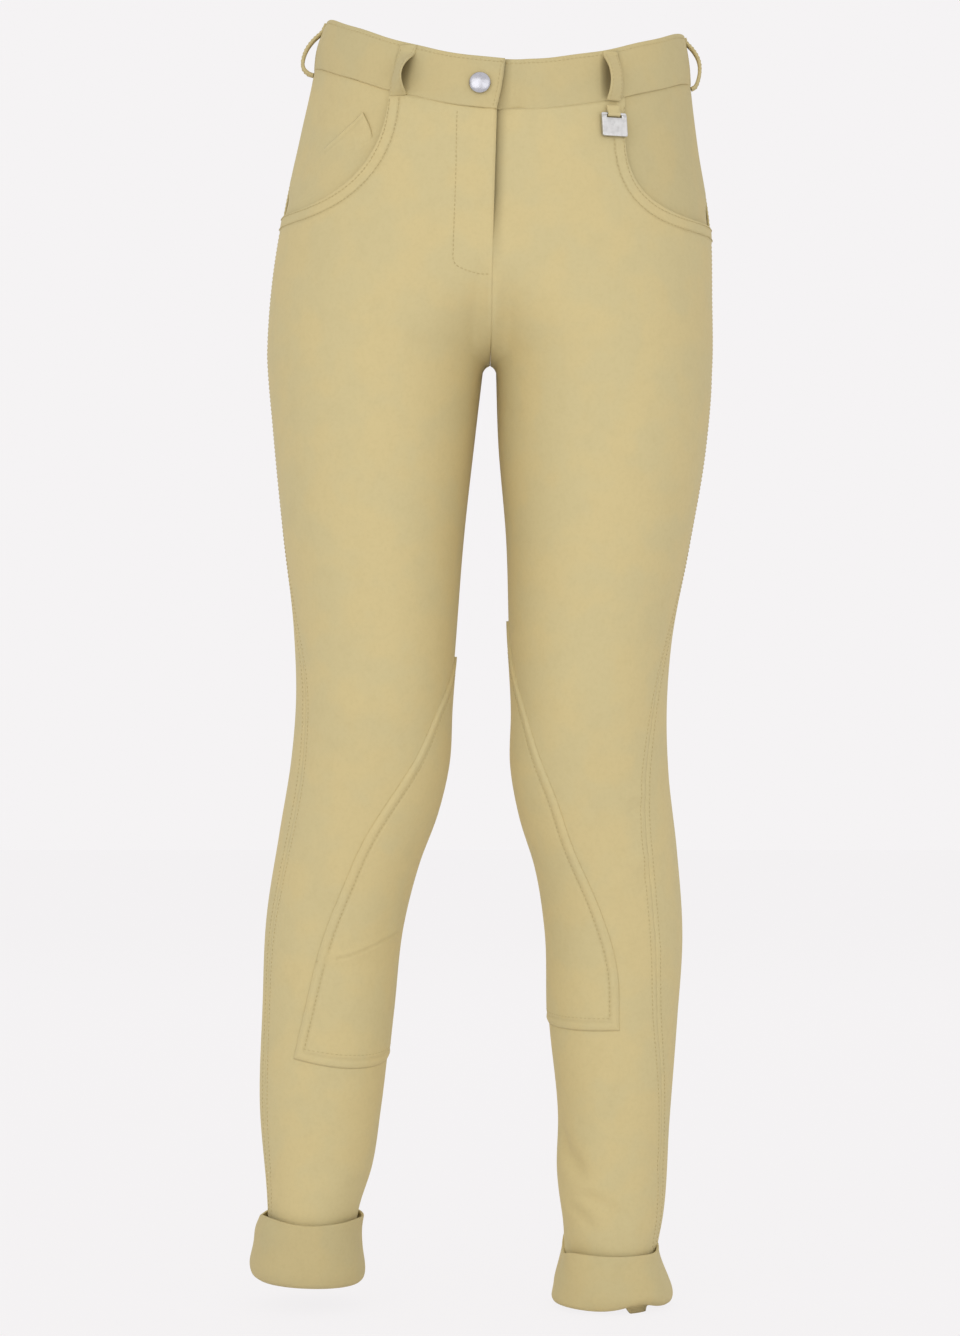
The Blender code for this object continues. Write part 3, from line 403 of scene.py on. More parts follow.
    def point(self, side: Side, level: Array, turn: Array) -> Array:
        """World points of the skin: x leans with the level, and z is level - tilt * x."""
        level, turn = paired(level, turn)
        across, y = np.where(turn >= 0, *(self._read(side, face, level, np.abs(turn))
                                          for face in Face))
        x = side.sign * across + self.sizes.middle_lean * np.maximum(level, self.sizes.crotch)
        return np.stack([x, y, level - self.sizes.hip_tilt * x], axis=-1)

    def normal(self, side: Side, level: Array, turn: Array) -> Array:
        """Unit outward normals, from small steps along the level and along the turn."""
        level, turn = paired(level, turn)
        along = (self.point(side, level, np.minimum(turn + 0.012, 1.0))
                 - self.point(side, level, np.maximum(turn - 0.012, -1.0)))
        rise = self.point(side, level + 0.002, turn) - self.point(side, level - 0.002, turn)
        return side.sign * unit(np.cross(rise, along))

    def turn_at_width(self, side: Side, face: Face, level: Array, width: Array) -> Array:
        """Turns of the points at a distance from the middle line.

        Found on the chart's row at each level, by interpolating turn over distance.
        """
        level, width = paired(level, width)
        x = self.charts[side, face][0][0]
        row = np.clip(np.searchsorted(self.levels, level) - 1, 0, len(self.levels) - 1).ravel()
        offset = 2.0 * np.arange(len(row))[:, None]
        known = (offset - x[row]).ravel()
        shares = np.tile(np.linspace(0.0, 1.0, self.TURNS), len(row))
        found = np.interp(offset[:, 0] - width.ravel(), known, shares)
        return face.sign * found.reshape(level.shape)

    @cached_property
    def waist_widths(self) -> dict:
        """Distance from the middle line by turn, at the side's waist seam, by half."""
        level = np.full(self.TURNS, self.sizes.waist_side - self.sizes.band_height)
        share = np.linspace(0.0, 1.0, self.TURNS)
        return {key: self._read(*key, level, share)[0] for key in self.charts}

    def waist_top(self, side: Side, turn: Array) -> Array:
        """Levels of the waistband's top edge: side level less a power of the way in."""
        turn = np.asarray(turn, float)
        found = []
        for face in Face:
            widths = self.waist_widths[side, face]
            share = np.interp(np.abs(turn), np.linspace(0.0, 1.0, self.TURNS), widths / widths[0])
            drop, power = self.sizes.waist_dip[face]
            found.append(self.sizes.waist_side - drop * (1.0 - share**power))
        return np.where(turn >= 0, found[0], found[1])

    def waist_seam(self, side: Side, turn: Array) -> Array:
        """Levels of the seam under the waistband."""
        return self.waist_top(side, turn) - self.sizes.band_height

    def outseam(self, side: Side, level: Array) -> Array:
        """Turns of the outseam."""
        return np.where(np.asarray(level) >= -0.3, 0.0,
                        self.sizes.outseam.at(side.value, level))

    def scoop(self, side: Side, angle: Array) -> tuple[Array, Array]:
        """Levels and turns of the pocket mouth, from the waist seam (0) to the side."""
        width, top, side_level, exponent = self.sizes.scoop[side]
        level = top + (side_level - top) * np.sin(angle) ** (2.0 / exponent)
        reach = 1.0 - np.cos(angle).clip(0.0) ** (2.0 / exponent)
        full = self.sizes.outer.at(side.value, level)
        return level, self.turn_at_width(side, FRONT, level, width + (full - width) * reach)

    def scoop_angles(self, side: Side, count: int) -> Array:
        """Angles that place count points evenly along a pocket mouth."""
        angles = np.linspace(0.0, math.pi / 2, 121)
        walked = walked_along(self.point(side, *self.scoop(side, angles)))
        return np.interp(np.linspace(0.0, walked[-1], count), walked, angles)


# ==== creases and relief
@dataclass(frozen=True)
class Crease:
    """One soft trough (negative height) or ridge (positive) in the cloth."""

    side: Side  # the wearer's side it lies on
    path: tuple[Pair, ...]  # (level, turn) places along its middle
    width: float  # half-width of its bell profile
    height: float  # how far its middle stands out of the cloth
    taper: float = 0.45  # share of its length over which each end fades


@dataclass(frozen=True)
class Swell:
    """A broad soft fullness: a bell over the turn and the level."""

    side: Side  # the wearer's side it lies on
    level: float  # level of its middle
    turn: float  # turn of its middle
    reach: Pair  # half-height and half-breadth of the bell
    height: float  # how far its middle stands out


class Relief:
    """All the creases and swells of the garment, as one height over the skin."""

    def __init__(self, skin: Skin, creases: Sequence[Crease], swells: Sequence[Swell]) -> None:
        """Keep the creases as smooth lines in flattened cloth coordinates."""
        self.skin = skin
        self.swells = swells
        self.lines = []
        for crease in creases:
            level, turn = through(crease.path, 24).T
            self.lines.append((crease, self._flat(crease.side, level, turn)))

    def _flat(self, side: Side, level: Array, turn: Array) -> Array:
        """Flattened places (turn times the half length, level), on both faces."""
        return np.stack([turn * self.skin.length_at(side, level, turn), level], axis=-1)

    def height(self, side: Side, level: Array, turn: Array) -> Array:
        """Height of the cloth over the skin: the sum of every bell at its distance.

        Args:
            side: The wearer's side.
            level: Levels.
            turn: Turns, shaped as the levels.

        Returns:
            Heights, shaped as the levels.
        """
        level, turn = paired(level, turn)
        places = self._flat(side, level, turn)
        total = np.zeros(level.shape)
        for crease, line in self.lines:
            if crease.side is not side:
                continue
            reach = 3.0 * crease.width
            near = ((places >= line.min(0) - reach) & (places <= line.max(0) + reach)).all(-1)
            if not near.any():
                continue
            distance, share = distance_to_line(places[near], line)
            ends = smoothstep(0.0, crease.taper, share) * smoothstep(0.0, crease.taper, 1 - share)
            total[near] += crease.height * gaussian(distance, crease.width) * ends
        for swell in self.swells:
            if swell.side is side:
                middle = self._flat(side, np.array(swell.level), np.array(swell.turn))
                total += (swell.height * gaussian(places[..., 1] - middle[1], swell.reach[0])
                          * gaussian(places[..., 0] - middle[0], swell.reach[1]))
        return total


class Cloth:
    """Places things on the creased cloth."""

    def __init__(self, skin: Skin, relief: Relief) -> None:
        """Keep the skin and its relief."""
        self.skin = skin
        self.relief = relief

    def place(self, side: Side, level: Array, turn: Array, out: Array | float = 0.0) -> Array:
        """World points on the cloth: skin point + (relief + out) times the normal."""
        height = self.relief.height(side, level, turn) + out
        return (self.skin.point(side, level, turn)
                + height[..., None] * self.skin.normal(side, level, turn))

    def frame_at(self, side: Side, level: float, turn: float) -> tuple[Array, Array, Array]:
        """Sideways, up and out unit directions at one place of the skin."""
        out = self.skin.normal(side, np.array(level), np.array(turn))
        sideways = unit(np.cross(np.array([0.0, 0.0, 1.0]), out))
        return sideways, np.cross(out, sideways), out


# ==== meshes
@dataclass
class Grid:
    """A surface on a grid of points, with its map and its painted shade (hollow) by point."""

    points: Array  # world points, (rows, columns, 3)
    uv: Array | None = None  # map coordinates in metres, (rows, columns, 2)
    edge: Array | None = None  # distance to the nearest sewn edge, (rows, columns)
    hollow: Array | None = None
    closed_rows: bool = False  # the last row meets the first
    closed_columns: bool = False  # the last column meets the first
    capped: bool = False  # the first and last rows are closed across, for a closed profile

    def quads(self) -> Array:
        """Corner numbers of every cell, and of the caps as strips across the profile."""
        rows, columns = self.points.shape[:2]
        number = np.arange(rows * columns).reshape(rows, columns)
        if self.closed_rows:
            number = np.concatenate([number, number[:1]], axis=0)
        if self.closed_columns:
            number = np.concatenate([number, number[:, :1]], axis=1)
        cells = np.stack([number[:-1, :-1], number[:-1, 1:], number[1:, 1:], number[1:, :-1]],
                         axis=-1).reshape(-1, 4)
        if not self.capped:
            return cells
        half = columns // 2
        near = np.arange(half - 1)
        cap = np.stack([near, near + 1, columns - 2 - near, columns - 1 - near], axis=-1)
        return np.concatenate([cells, cap[:, ::-1], cap + (rows - 1) * columns])


def mesh_object(name: str, points: Array, quads: Array, uv: Array | None = None,
                edge: Array | None = None, hollow: Array | None = None,
                smooth: bool = True) -> Piece:
    """Link one object made from points and cells, its faces turned outwards.

    Args:
        name: Object and mesh name.
        points: World points, (n, 3).
        quads: Corner numbers, (m, 3) or (m, 4).
        uv: Map coordinates by point.
        edge: Distance to the nearest sewn edge by point.
        hollow: Painted shade by point, beside a lapped edge or under a belt loop.
        smooth: Shade the faces smooth.

    Returns:
        The object.
    """
    mesh = bpy.data.meshes.new(name)
    sides = quads.shape[1]
    mesh.vertices.add(len(points))
    mesh.vertices.foreach_set("co", np.ascontiguousarray(points, np.float32).ravel())
    mesh.loops.add(quads.size)
    mesh.loops.foreach_set("vertex_index", np.ascontiguousarray(quads, np.int32).ravel())
    mesh.polygons.add(len(quads))
    starts = np.arange(0, quads.size, sides, dtype=np.int32)
    mesh.polygons.foreach_set("loop_start", starts)
    mesh.polygons.foreach_set("use_smooth", np.full(len(quads), smooth))
    if uv is not None:
        layer = mesh.uv_layers.new(name="cut")
        layer.data.foreach_set("uv", uv[quads.ravel()].astype(np.float32).ravel())
    for title, values in (("edge", edge), ("hollow", hollow)):
        if values is not None:
            shade = mesh.attributes.new(title, "FLOAT", "POINT")
            shade.data.foreach_set("value", values.astype(np.float32).ravel())
    mesh.update(calc_edges=True)
    mesh.validate()
    made = bpy.data.objects.new(name, mesh)
    bpy.context.scene.collection.objects.link(made)
    return made


def tube_cells(rings: int, around: int) -> Array:
    """Triangles of a tube of rings, closed by two tips numbered after them."""
    number = np.arange(rings * around).reshape(rings, around)
    after = np.roll(number, -1, axis=1)
    quads = np.stack([number[:-1], number[1:], after[1:], after[:-1]], axis=-1).reshape(-1, 4)
    tips = np.full(around, rings * around)
    ends = [np.stack(corners, axis=-1) for corners in (
        (tips, number[0], after[0]), (tips + 1, after[-1], number[-1]))]
    return np.concatenate([quads[:, (0, 1, 2)], quads[:, (0, 2, 3)], *ends])


def grid_object(name: str, grid: Grid, flip: bool = False) -> Piece:
    """Link one object made from a grid, its faces turned round if flip is set."""
    count = grid.points[..., 0].size
    maps = (None if given is None else given.reshape(count, *given.shape[2:])
            for given in (grid.uv, grid.edge, grid.hollow))
    quads = grid.quads()[:, ::-1] if flip else grid.quads()
    return mesh_object(name, grid.points.reshape(count, 3), quads, *maps)


def thicken(piece: Piece, wall: float) -> None:
    """Give a sheet its wall, inwards from its outer face, with closed edges."""
    solid = piece.modifiers.new("wall", "SOLIDIFY")
    solid.thickness = wall
    solid.offset = -1.0
    solid.use_even_offset = False
    solid.use_rim = True


# ==== finishes
class NodeBench:
    """A short way to lay out one tree's nodes."""

    def __init__(self, tree: bpy.types.NodeTree) -> None:
        """Keep the tree."""
        self.tree = tree

    def feed(self, node: bpy.types.Node, inputs: dict) -> None:
        """Link each named input to its socket, or set its value."""
        for name, source in inputs.items():
            if isinstance(source, Socket):
                self.tree.links.new(source, node.inputs[name])
            else:
                node.inputs[name].default_value = source

    def make(self, kind: str, inputs: dict, **settings: object) -> bpy.types.bpy_prop_collection:
        """Outputs of a new node with its inputs fed and its properties set."""
        node = self.tree.nodes.new("ShaderNode" + kind)
        for name, value in settings.items():
            setattr(node, name, value)
        self.feed(node, inputs)
        return node.outputs

    def math(self, operation: str, *values: object) -> Socket:
        """Result of a Math node."""
        return self.make("Math", dict(enumerate(values)), operation=operation)[0]

    def ease(self, value: object, low: float, high: float, start: float = 0.0,
             end: float = 1.0) -> Socket:
        """A smooth Map Range from low..high to start..end."""
        ends = {"From Min": low, "From Max": high, "To Min": start, "To Max": end}
        return self.make("MapRange", {"Value": value, **ends},
                         interpolation_type="SMOOTHSTEP")["Result"]

    def noise(self, place: Socket, scale: float, detail: float = 2.0,
              roughness: float = 0.5) -> Socket:
        """A noise value."""
        return self.make("TexNoise", {"Vector": place, "Scale": scale, "Detail": detail,
                                      "Roughness": roughness})["Fac"]

    def mix(self, share: object, first: object, second: object) -> Socket:
        """A colour between two colours."""
        return self.make("Mix", {0: share, 6: first, 7: second}, data_type="RGBA")[2]

    def bump(self, height: object, strength: float, distance: float,
             under: Socket | None = None) -> Socket:
        """A bumped normal."""
        inputs = {"Height": height, "Strength": strength, "Distance": distance}
        if under is not None:
            inputs["Normal"] = under
        return self.make("Bump", inputs)["Normal"]

    def seen(self) -> Socket:
        """1 for rays from the camera, or seen in metal."""
        path = self.make("LightPath", {})
        either = self.math("MAXIMUM", path["Is Camera Ray"], path["Is Glossy Ray"])
        return self.math("MAXIMUM", either, path["Is Transmission Ray"])


class MaterialBench(NodeBench):
    """One material's nodes, ending in its Principled shader."""

    def __init__(self, name: str) -> None:
        """Make the material."""
        self.material = bpy.data.materials.new(name)
        self.material.use_nodes = True
        super().__init__(self.material.node_tree)
        self.shader = self.tree.nodes["Principled BSDF"]

    def finished(self, **inputs: object) -> Material:
        """The material, its shader fed by inputs whose names have _ for each space."""
        self.feed(self.shader, {name.replace("_", " "): source
                                for name, source in inputs.items()})
        return self.material


@dataclass(frozen=True)
class CottonFinish:
    """Brushed stretch cotton: a matte twill knit with a soft nap.

    The stitch rows are the distances from a sewn edge at which stitching presses it in.
    """

    colour: Triple = (0.61, 0.512, 0.264)  # main colour, linear
    greener: Triple = (0.584, 0.508, 0.276)  # colour of its cooler patches
    warmer: Triple = (0.642, 0.525, 0.26)  # colour of its warmer patches
    shade: Triple = (0.43, 0.345, 0.165)  # colour of the random flecks and clouds, and of the painted shade along the stitch rows and, at half, by the "hollow" attribute
    stitch_rows: tuple[float, ...] = ()
    painted_shade_factor: float = 1.0  # factor on every colour; below 1 it is painted shade, a darker copy of the cotton
    hollow: float = 0.0  # how much the piece's "hollow" attribute darkens it with painted shade

    def tone(self, colour: Triple) -> tuple[float, ...]:
        """A colour times the painted shade factor, opaque."""
        return (*(part * self.painted_shade_factor for part in colour), 1.0)

    def build(self, name: str) -> Material:
        """Lay out the material.

        Broad blotches and fine flecks vary the colour, and painted shade darkens it by the
        piece's "hollow" attribute and along the rows of stitching. The height is a twill line on
        the piece's own map, the nap's noise, and the dips along the rows of stitching.
        """
        bench = MaterialBench(name)
        coordinates = bench.make("TexCoord", {})
        place, fleck_and_shade_tone = coordinates["Object"], self.tone(self.shade)
        blotch = bench.ease(bench.noise(place, 26.0), 0.38, 0.62)
        colour = bench.mix(blotch, self.tone(self.greener), self.tone(self.warmer))
        colour = bench.mix(0.55, colour, self.tone(self.colour))
        fleck, cloud = bench.noise(place, 330.0, 3.0, 0.6), bench.noise(place, 75.0)
        colour = bench.mix(bench.ease(fleck, 0.42, 0.7, 0.0, 0.08), colour, fleck_and_shade_tone)
        colour = bench.mix(bench.ease(cloud, 0.45, 0.75, 0.0, 0.06), colour, fleck_and_shade_tone)
        # painted shade: the "hollow" attribute darkens the colour towards half the shade colour
        if self.hollow:
            painted_hollow_shade = bench.make("Attribute", {}, attribute_name="hollow")["Fac"]
            colour = bench.mix(bench.math("MULTIPLY", painted_hollow_shade, self.hollow), colour,
                               (*(part * 0.5 for part in self.shade), 1.0))
        across, along, _ = bench.make("SeparateXYZ", {0: coordinates["UV"]})
        slant = bench.math("ADD", bench.math("MULTIPLY", across, 900.0),
                           bench.math("MULTIPLY", along, 1500.0))
        twill = bench.math("SINE", bench.math("MULTIPLY", slant, 2 * math.pi))
        height = bench.math("ADD", bench.math("MULTIPLY", twill, 0.18),
                            bench.noise(place, 1400.0, 2.0, 0.6))
        normal = bench.bump(height, 0.22, 0.0004)
        normal = bench.bump(bench.noise(place, 160.0), 0.1, 0.0012, normal)
        if self.stitch_rows:
            distance = bench.make("Attribute", {}, attribute_name="edge")["Fac"]
            dips: object = 0.0
            for row in self.stitch_rows:
                away = bench.math("ABSOLUTE", bench.math("SUBTRACT", distance, row))
                dips = bench.math("MAXIMUM", dips, bench.ease(away, 0.0002, 0.0022, 1.0, 0.0))
            # painted shade: the colour darkened along the rows of stitching, where they press the
            # cloth in
            colour = bench.mix(bench.math("MULTIPLY", dips, 0.13), colour, fleck_and_shade_tone)
            normal = bench.bump(bench.math("MULTIPLY", dips, -1.0), 0.5, 0.0005, normal)
        return bench.finished(Base_Color=colour, Normal=normal, Roughness=0.92,
                              Specular_IOR_Level=0.18, Sheen_Weight=0.1,
                              Sheen_Roughness=0.55, Sheen_Tint=(0.95, 0.9, 0.72, 1.0))


@dataclass(frozen=True)
class ThreadFinish:
    """Tonal topstitching thread."""

    colour: Triple = (0.585, 0.482, 0.236)  # thread colour, linear

    def build(self, name: str) -> Material:
        """A twisted thread with slight changes of tone along it."""
        bench = MaterialBench(name)
        place = bench.make("TexCoord", {})["Object"]
        darker = (*(part * 0.8 for part in self.colour), 1.0)
        colour = bench.mix(bench.noise(place, 260.0), darker, (*self.colour, 1.0))
        normal = bench.bump(bench.noise(place, 4200.0), 0.3, 0.0002)
        return bench.finished(Base_Color=colour, Normal=normal, Roughness=0.7,
                              Specular_IOR_Level=0.3)


@dataclass(frozen=True)
class MetalFinish:
    """Soft silver metal with fine marks."""

    colour: Triple = (0.72, 0.715, 0.7)  # metal colour, linear
    roughness: float = 0.26  # how dull it is
    brushed: Triple = (1.0, 1.0, 1.0)  # scale of the marks along X, Y and Z

    def build(self, name: str) -> Material:
        """Metal whose tone and gloss change a little with fine marks."""
        bench = MaterialBench(name)
        place = bench.make("TexCoord", {})["Object"]
        stretched = bench.make("Mapping", {"Vector": place, "Scale": self.brushed})["Vector"]
        marks = bench.noise(stretched, 900.0, 3.0, 0.6)
        tarnish = bench.ease(bench.noise(place, 320.0), 0.45, 0.75)
        dull = (*(part * 0.86 for part in self.colour), 1.0)
        gloss = bench.ease(marks, 0.3, 0.7, self.roughness * 0.85, self.roughness * 1.25)
        return bench.finished(Base_Color=bench.mix(tarnish, (*self.colour, 1.0), dull),
                              Metallic=1.0, Roughness=gloss,
                              Normal=bench.bump(marks, 0.12, 0.0002))


# ==== the workshop
class Body(Enum):
    """The moving bodies."""

    GARMENT = "garment"
    TAG = "tag"


class Slot(Enum):
    """The material slots."""

    COTTON = "cotton"
    METAL = "metal"


@dataclass
class Workshop:
    """What every sub-assembly shares, and where each finished piece is entered."""

    sizes: GarmentSizes  # the driving sizes
    skin: Skin  # the outer surface
    cloth: Cloth  # the creased cloth on it
    finishes: dict[str, Material] = field(default_factory=dict)

    def finish(self, name: str, finish: CottonFinish | ThreadFinish | MetalFinish
               ) -> Material:
        """The material of a finish, made once."""
        if name not in self.finishes:
            self.finishes[name] = finish.build(name)
        return self.finishes[name]

    def enter(self, piece: Piece, material: Material, slot: Slot,
              nodes: Sequence[str] = (), body: Body = Body.GARMENT) -> None:
        """Dress a piece, seat it on its body and say which solids it stands for.

        Args:
            piece: The piece.
            material: Its material.
            slot: Its material slot; not used.
            nodes: The solids that it replaces.
            body: The body that it moves with.
        """
        piece.data.materials.append(material)
        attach(piece, body.value)
        if nodes:
            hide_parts(*nodes)
        log.info("%s: %d points", piece.name, len(piece.data.vertices))

    def sew(self, node: str, grid: Grid, finish: tuple[str, CottonFinish], flat: Pair,
            held: str, wall: float = 0.0, flip: bool = False, rests_on: Sequence[str] = (),
            ending: str = "_cloth") -> None:
        """Args:
            node: The solid that it stands for, and with the ending its own name.
            grid: Its outer face, or its whole surface where it has no wall to add.
            finish: Its material's name and finish.
            flat: Its cut breadth and length; not used.
            held: How the cloth is held; not used.
            wall: Thickness given to the outer face.
            flip: Turn the faces round.
            rests_on: Pieces that it is laid on; not used.
            ending: The end of its name.
        """
        piece = grid_object(node + ending, grid, flip)
        if wall:
            thicken(piece, wall)
        self.enter(piece, self.finish(*finish), Slot.COTTON, (node,))

    def place_by_width(self, face: Face, width: Array, level: Array, out: Array | float = 0.0
                       ) -> Array:
        """Points at signed distances from the middle line (+ is the wearer's left).

        Each point's turn is read at its own distance and level on its own side.
        """
        width, level = paired(width, level)
        out = np.broadcast_to(np.asarray(out, float), width.shape)
        points = np.empty((*width.shape, 3))
        for side in Side:
            mine = (width > 0) if side is LEFT else (width <= 0)
            if mine.any():
                turn = self.skin.turn_at_width(side, face, level[mine], np.abs(width[mine]))
                points[mine] = self.cloth.place(side, level[mine], turn, out[mine])
        return points


@dataclass
class Assembly:
    """A sub-assembly, which enters its pieces in the workshop."""

    shop: Workshop

    @property
    def sizes(self) -> GarmentSizes:
        """The driving sizes."""
        return self.shop.sizes

    @property
    def skin(self) -> Skin:
        """The outer surface."""
        return self.shop.skin


# ==== topstitching
PITCH = 0.0034  # from one stitch to the next
FAR = 0.05  # an edge distance at which no stitching shows


@dataclass(frozen=True)
class StitchLine:
    """A row of stitches along a line on the cloth."""

    points: Array  # the line's points
    normals: Array  # the cloth's outward normals there
    pitch: float = PITCH
    share: float = 0.74  # share of the pitch that the thread shows


@dataclass
class Topstitching(Assembly):
    """All the sewn rows of one piece, as one object of small rounded stitches."""

    thread: float = 0.00021
    lines: list[StitchLine] = field(default_factory=list)

    def on_cloth(self, side: Side, level: Array, turn: Array, out: float | Array = 0.0,
                 pitch: float = PITCH) -> None:
        """Add a row along (level, turn) places, standing out of the cloth by out."""
        points = self.shop.cloth.place(side, level, turn, out)
        self.lines.append(StitchLine(points, self.skin.normal(side, level, turn), pitch))

    def on_grid(self, points: Array, outward: Array, pitch: float = PITCH) -> None:
        """Add a row along points with given outward directions."""
        self.lines.append(StitchLine(points, np.broadcast_to(outward, points.shape), pitch))

    def build(self, name: str) -> None:
        """Make the stitches.

        A stitch is a tube on a short arc: its rings stand along the line at s times its
        length, each with its own radius and standing 1.1 - 3.4 (2 s)^4 of the thread's radius
        out of the cloth, and points stand round each ring by angle.

        Args:
            name: Object name.
        """
        centres, tangents, normals, lengths = [], [], [], []
        for line in self.lines:
            walked = walked_along(line.points)
            count = max(2, int(walked[-1] / line.pitch))
            middles = (np.arange(count) + 0.5) * walked[-1] / count
            stations = np.stack([middles - 0.001, middles, middles + 0.001])
            read = np.stack([np.interp(stations, walked, column)
                             for column in line.points.T], axis=-1)
            centres.append(read[1])
            tangents.append(unit(read[2] - read[0]))
            normals.append(np.stack([np.interp(middles, walked, column)
                                     for column in line.normals.T], axis=-1))
            lengths.append(np.full(count, walked[-1] / count * line.share))
        centre, tangent = np.concatenate(centres), np.concatenate(tangents)
        normal, length = unit(np.concatenate(normals)), np.concatenate(lengths)
        sideways = unit(np.cross(normal, tangent))
        along = np.array([-0.5, -0.36, 0.0, 0.36, 0.5])
        radius = self.thread * np.array([0.0, 0.85, 1.0, 0.85, 0.0])
        height = self.thread * (1.1 - 3.4 * (2 * along) ** 4)
        angle = np.linspace(0.0, 2 * math.pi, 5, endpoint=False)
        rise = height[:, None] + radius[:, None] * np.cos(angle)
        breadth = 1.25 * radius[:, None] * np.sin(angle)
        steps = length[:, None, None, None] * along[:, None, None]
        rings = (centre[:, None, None] + tangent[:, None, None] * steps
                 + normal[:, None, None] * rise[..., None]
                 + sideways[:, None, None] * breadth[..., None])
        tips = rings[:, (0, 4), 0]
        points = np.concatenate([rings[:, 1:4].reshape(len(centre), 15, 3), tips], axis=1)
        starts = points.shape[1] * np.arange(len(centre))[:, None, None]
        cells = (tube_cells(3, 5)[None] + starts).reshape(-1, 3)
        piece = mesh_object(name, points.reshape(-1, 3), cells)
        self.shop.enter(piece, self.shop.finish("thread", ThreadFinish()), Slot.COTTON)


# ==== leg panels
@dataclass
class LegPanels(Assembly):
    """The two fronts and the two backs, with their sewn rows."""

    rows_pocket: int = 54
    rows_crotch: int = 40
    rows_near: int = 14
    rows_arch: int = 10
    rows_leg: int = 200
    columns: int = 88
    arch: float = 0.014
    levelled: float = 0.75
    wall: float = 0.0014
    hem: float = 0.0098
    hem_rise: float = 0.0005
    mouth_row: float = 0.0016
    outseam_row: float = 0.0045
    back_row: float = 0.0025
    under_band: float = 0.0011

    def rows(self, side: Side, face: Face) -> tuple[Array, Array, Array]:
        """Outer level, outer turn and inner level of every row, from waist to hem."""
        skin, sizes = self.skin, self.sizes
        curve_top = sizes.crotch_curve[face][0]
        gap, side_level = sizes.seam_gap, sizes.scoop[side][2]
        share = np.linspace(0.0, 1.0, self.rows_pocket)
        seam = float(skin.waist_seam(side, face.sign)) - gap
        if face is FRONT:
            level, turn = skin.scoop(side, skin.scoop_angles(side, self.rows_pocket))
        else:
            top = float(skin.waist_seam(side, 0.0)) - gap
            level, turn = top + (side_level - top) * share, np.zeros_like(share)
        down = np.linspace(1.0, 0.0, 240) ** 2
        levels = sizes.crotch + (curve_top - sizes.crotch) * down
        curve = skin.point(RIGHT, levels, np.full(240, float(face.sign)))
        walked = walked_along(curve[:, 1:])
        even = np.linspace(0.0, walked[-1], self.rows_crotch + 1)[1:]
        inner = np.interp(even, walked, levels)
        share_down = np.arange(1, self.rows_crotch + 1) / self.rows_crotch
        outer = side_level + (sizes.crotch - side_level) * share_down
        arch = sizes.crotch - self.arch * (np.arange(1, self.rows_arch + 1) / self.rows_arch) ** 2
        leg = np.linspace(arch[-1], sizes.hem[side], self.rows_leg + 1)[1:]
        leg = np.concatenate([arch, leg])
        return (np.concatenate([level, outer, leg]),
                np.concatenate([turn, np.zeros_like(outer), skin.outseam(side, leg)]),
                np.concatenate([seam + (curve_top - seam) * share, inner, leg]))

    def places(self, side: Side, face: Face) -> tuple[Array, Array]:
        """Level and turn of every point of one panel.

        Rows run evenly from their outer to their inner end, and near the waist they are
        lifted so that the first follows the waist seam.
        """
        skin, sizes = self.skin, self.sizes
        outer_level, outer_turn, inner_level = self.rows(side, face)
        half_gap = sizes.meeting
        start = outer_turn + face.sign * half_gap / skin.length(side, face, outer_level)
        end = face.sign * (1.0 - half_gap / skin.length(side, face, inner_level))
        if face is FRONT:
            line = self.fly_line(inner_level)
            if side is LEFT:
                under = sizes.fly_under * smoothstep(sizes.fly_end, sizes.fly_end + 0.02,
                                                     inner_level)
                line = -line - under
            end = 1.0 - (line + half_gap) / skin.length(side, face, inner_level)
        share = eased_ends(self.columns)[None]
        level = between(outer_level, inner_level, share)
        turn = between(start, end, share)
        row = np.arange(len(outer_level))[:, None] / (self.rows_pocket - 1)
        fade = np.clip(1.0 - row / self.levelled, 0.0, 1.0) ** 2
        flat = outer_level[0] + (inner_level[0] - outer_level[0]) * share
        seam = skin.waist_seam(side, np.minimum(turn, 1.0))
        return level + fade * (seam + self.under_band - flat), turn

    def fly_line(self, level: Array) -> Array:
        """How far the right front's edge stands on the right of the middle line."""
        sizes = self.sizes
        seam = float(self.skin.waist_seam(RIGHT, 1.0))
        share = np.clip((level - sizes.fly_end) / (seam - sizes.fly_end), 0.0, 1.0)
        low, high = sizes.fly_lean
        return ((low + (high - low) * share)
                * smoothstep(sizes.crotch + 0.01, sizes.fly_end, level))

    def fly_relief(self, side: Side, level: Array, turn: Array) -> Array:
        """Folded edge of the right front, and the left front sinking beneath it."""
        sizes = self.sizes
        length = self.skin.length(side, FRONT, level)
        from_middle = (1.0 - turn) * length
        shown = smoothstep(sizes.fly_end - 0.004, sizes.fly_end + 0.055, level)
        line = self.fly_line(level)
        if side is RIGHT:
            inwards = from_middle - line
            return (0.0007 * gaussian(inwards - 0.004, 0.004)
                    - 0.0008 * gaussian(inwards, 0.001)) * shown
        away = from_middle + line
        return -sizes.fly_sink * (1.0 - smoothstep(-0.002, 0.017, away)) * shown

    def scoop_line(self, side: Side) -> Array:
        """The pocket mouth as a world line."""
        skin = self.skin
        return skin.point(side, *skin.scoop(side, skin.scoop_angles(side, 90)))

    def edge_distance(self, side: Side, face: Face, points: Array) -> Array:
        """Distance to the pocket mouth near it, and elsewhere far from any edge."""
        edge = np.full(points.shape[:2], FAR)
        if face is BACK:
            return edge
        last = self.rows_pocket + self.rows_near
        mouth = distance_to_line(points[:last], self.scoop_line(side))[0]
        row = np.arange(last)[:, None]
        edge[:last] = mouth + FAR * smoothstep(self.rows_pocket + 3, self.rows_pocket + 12, row)
        return edge

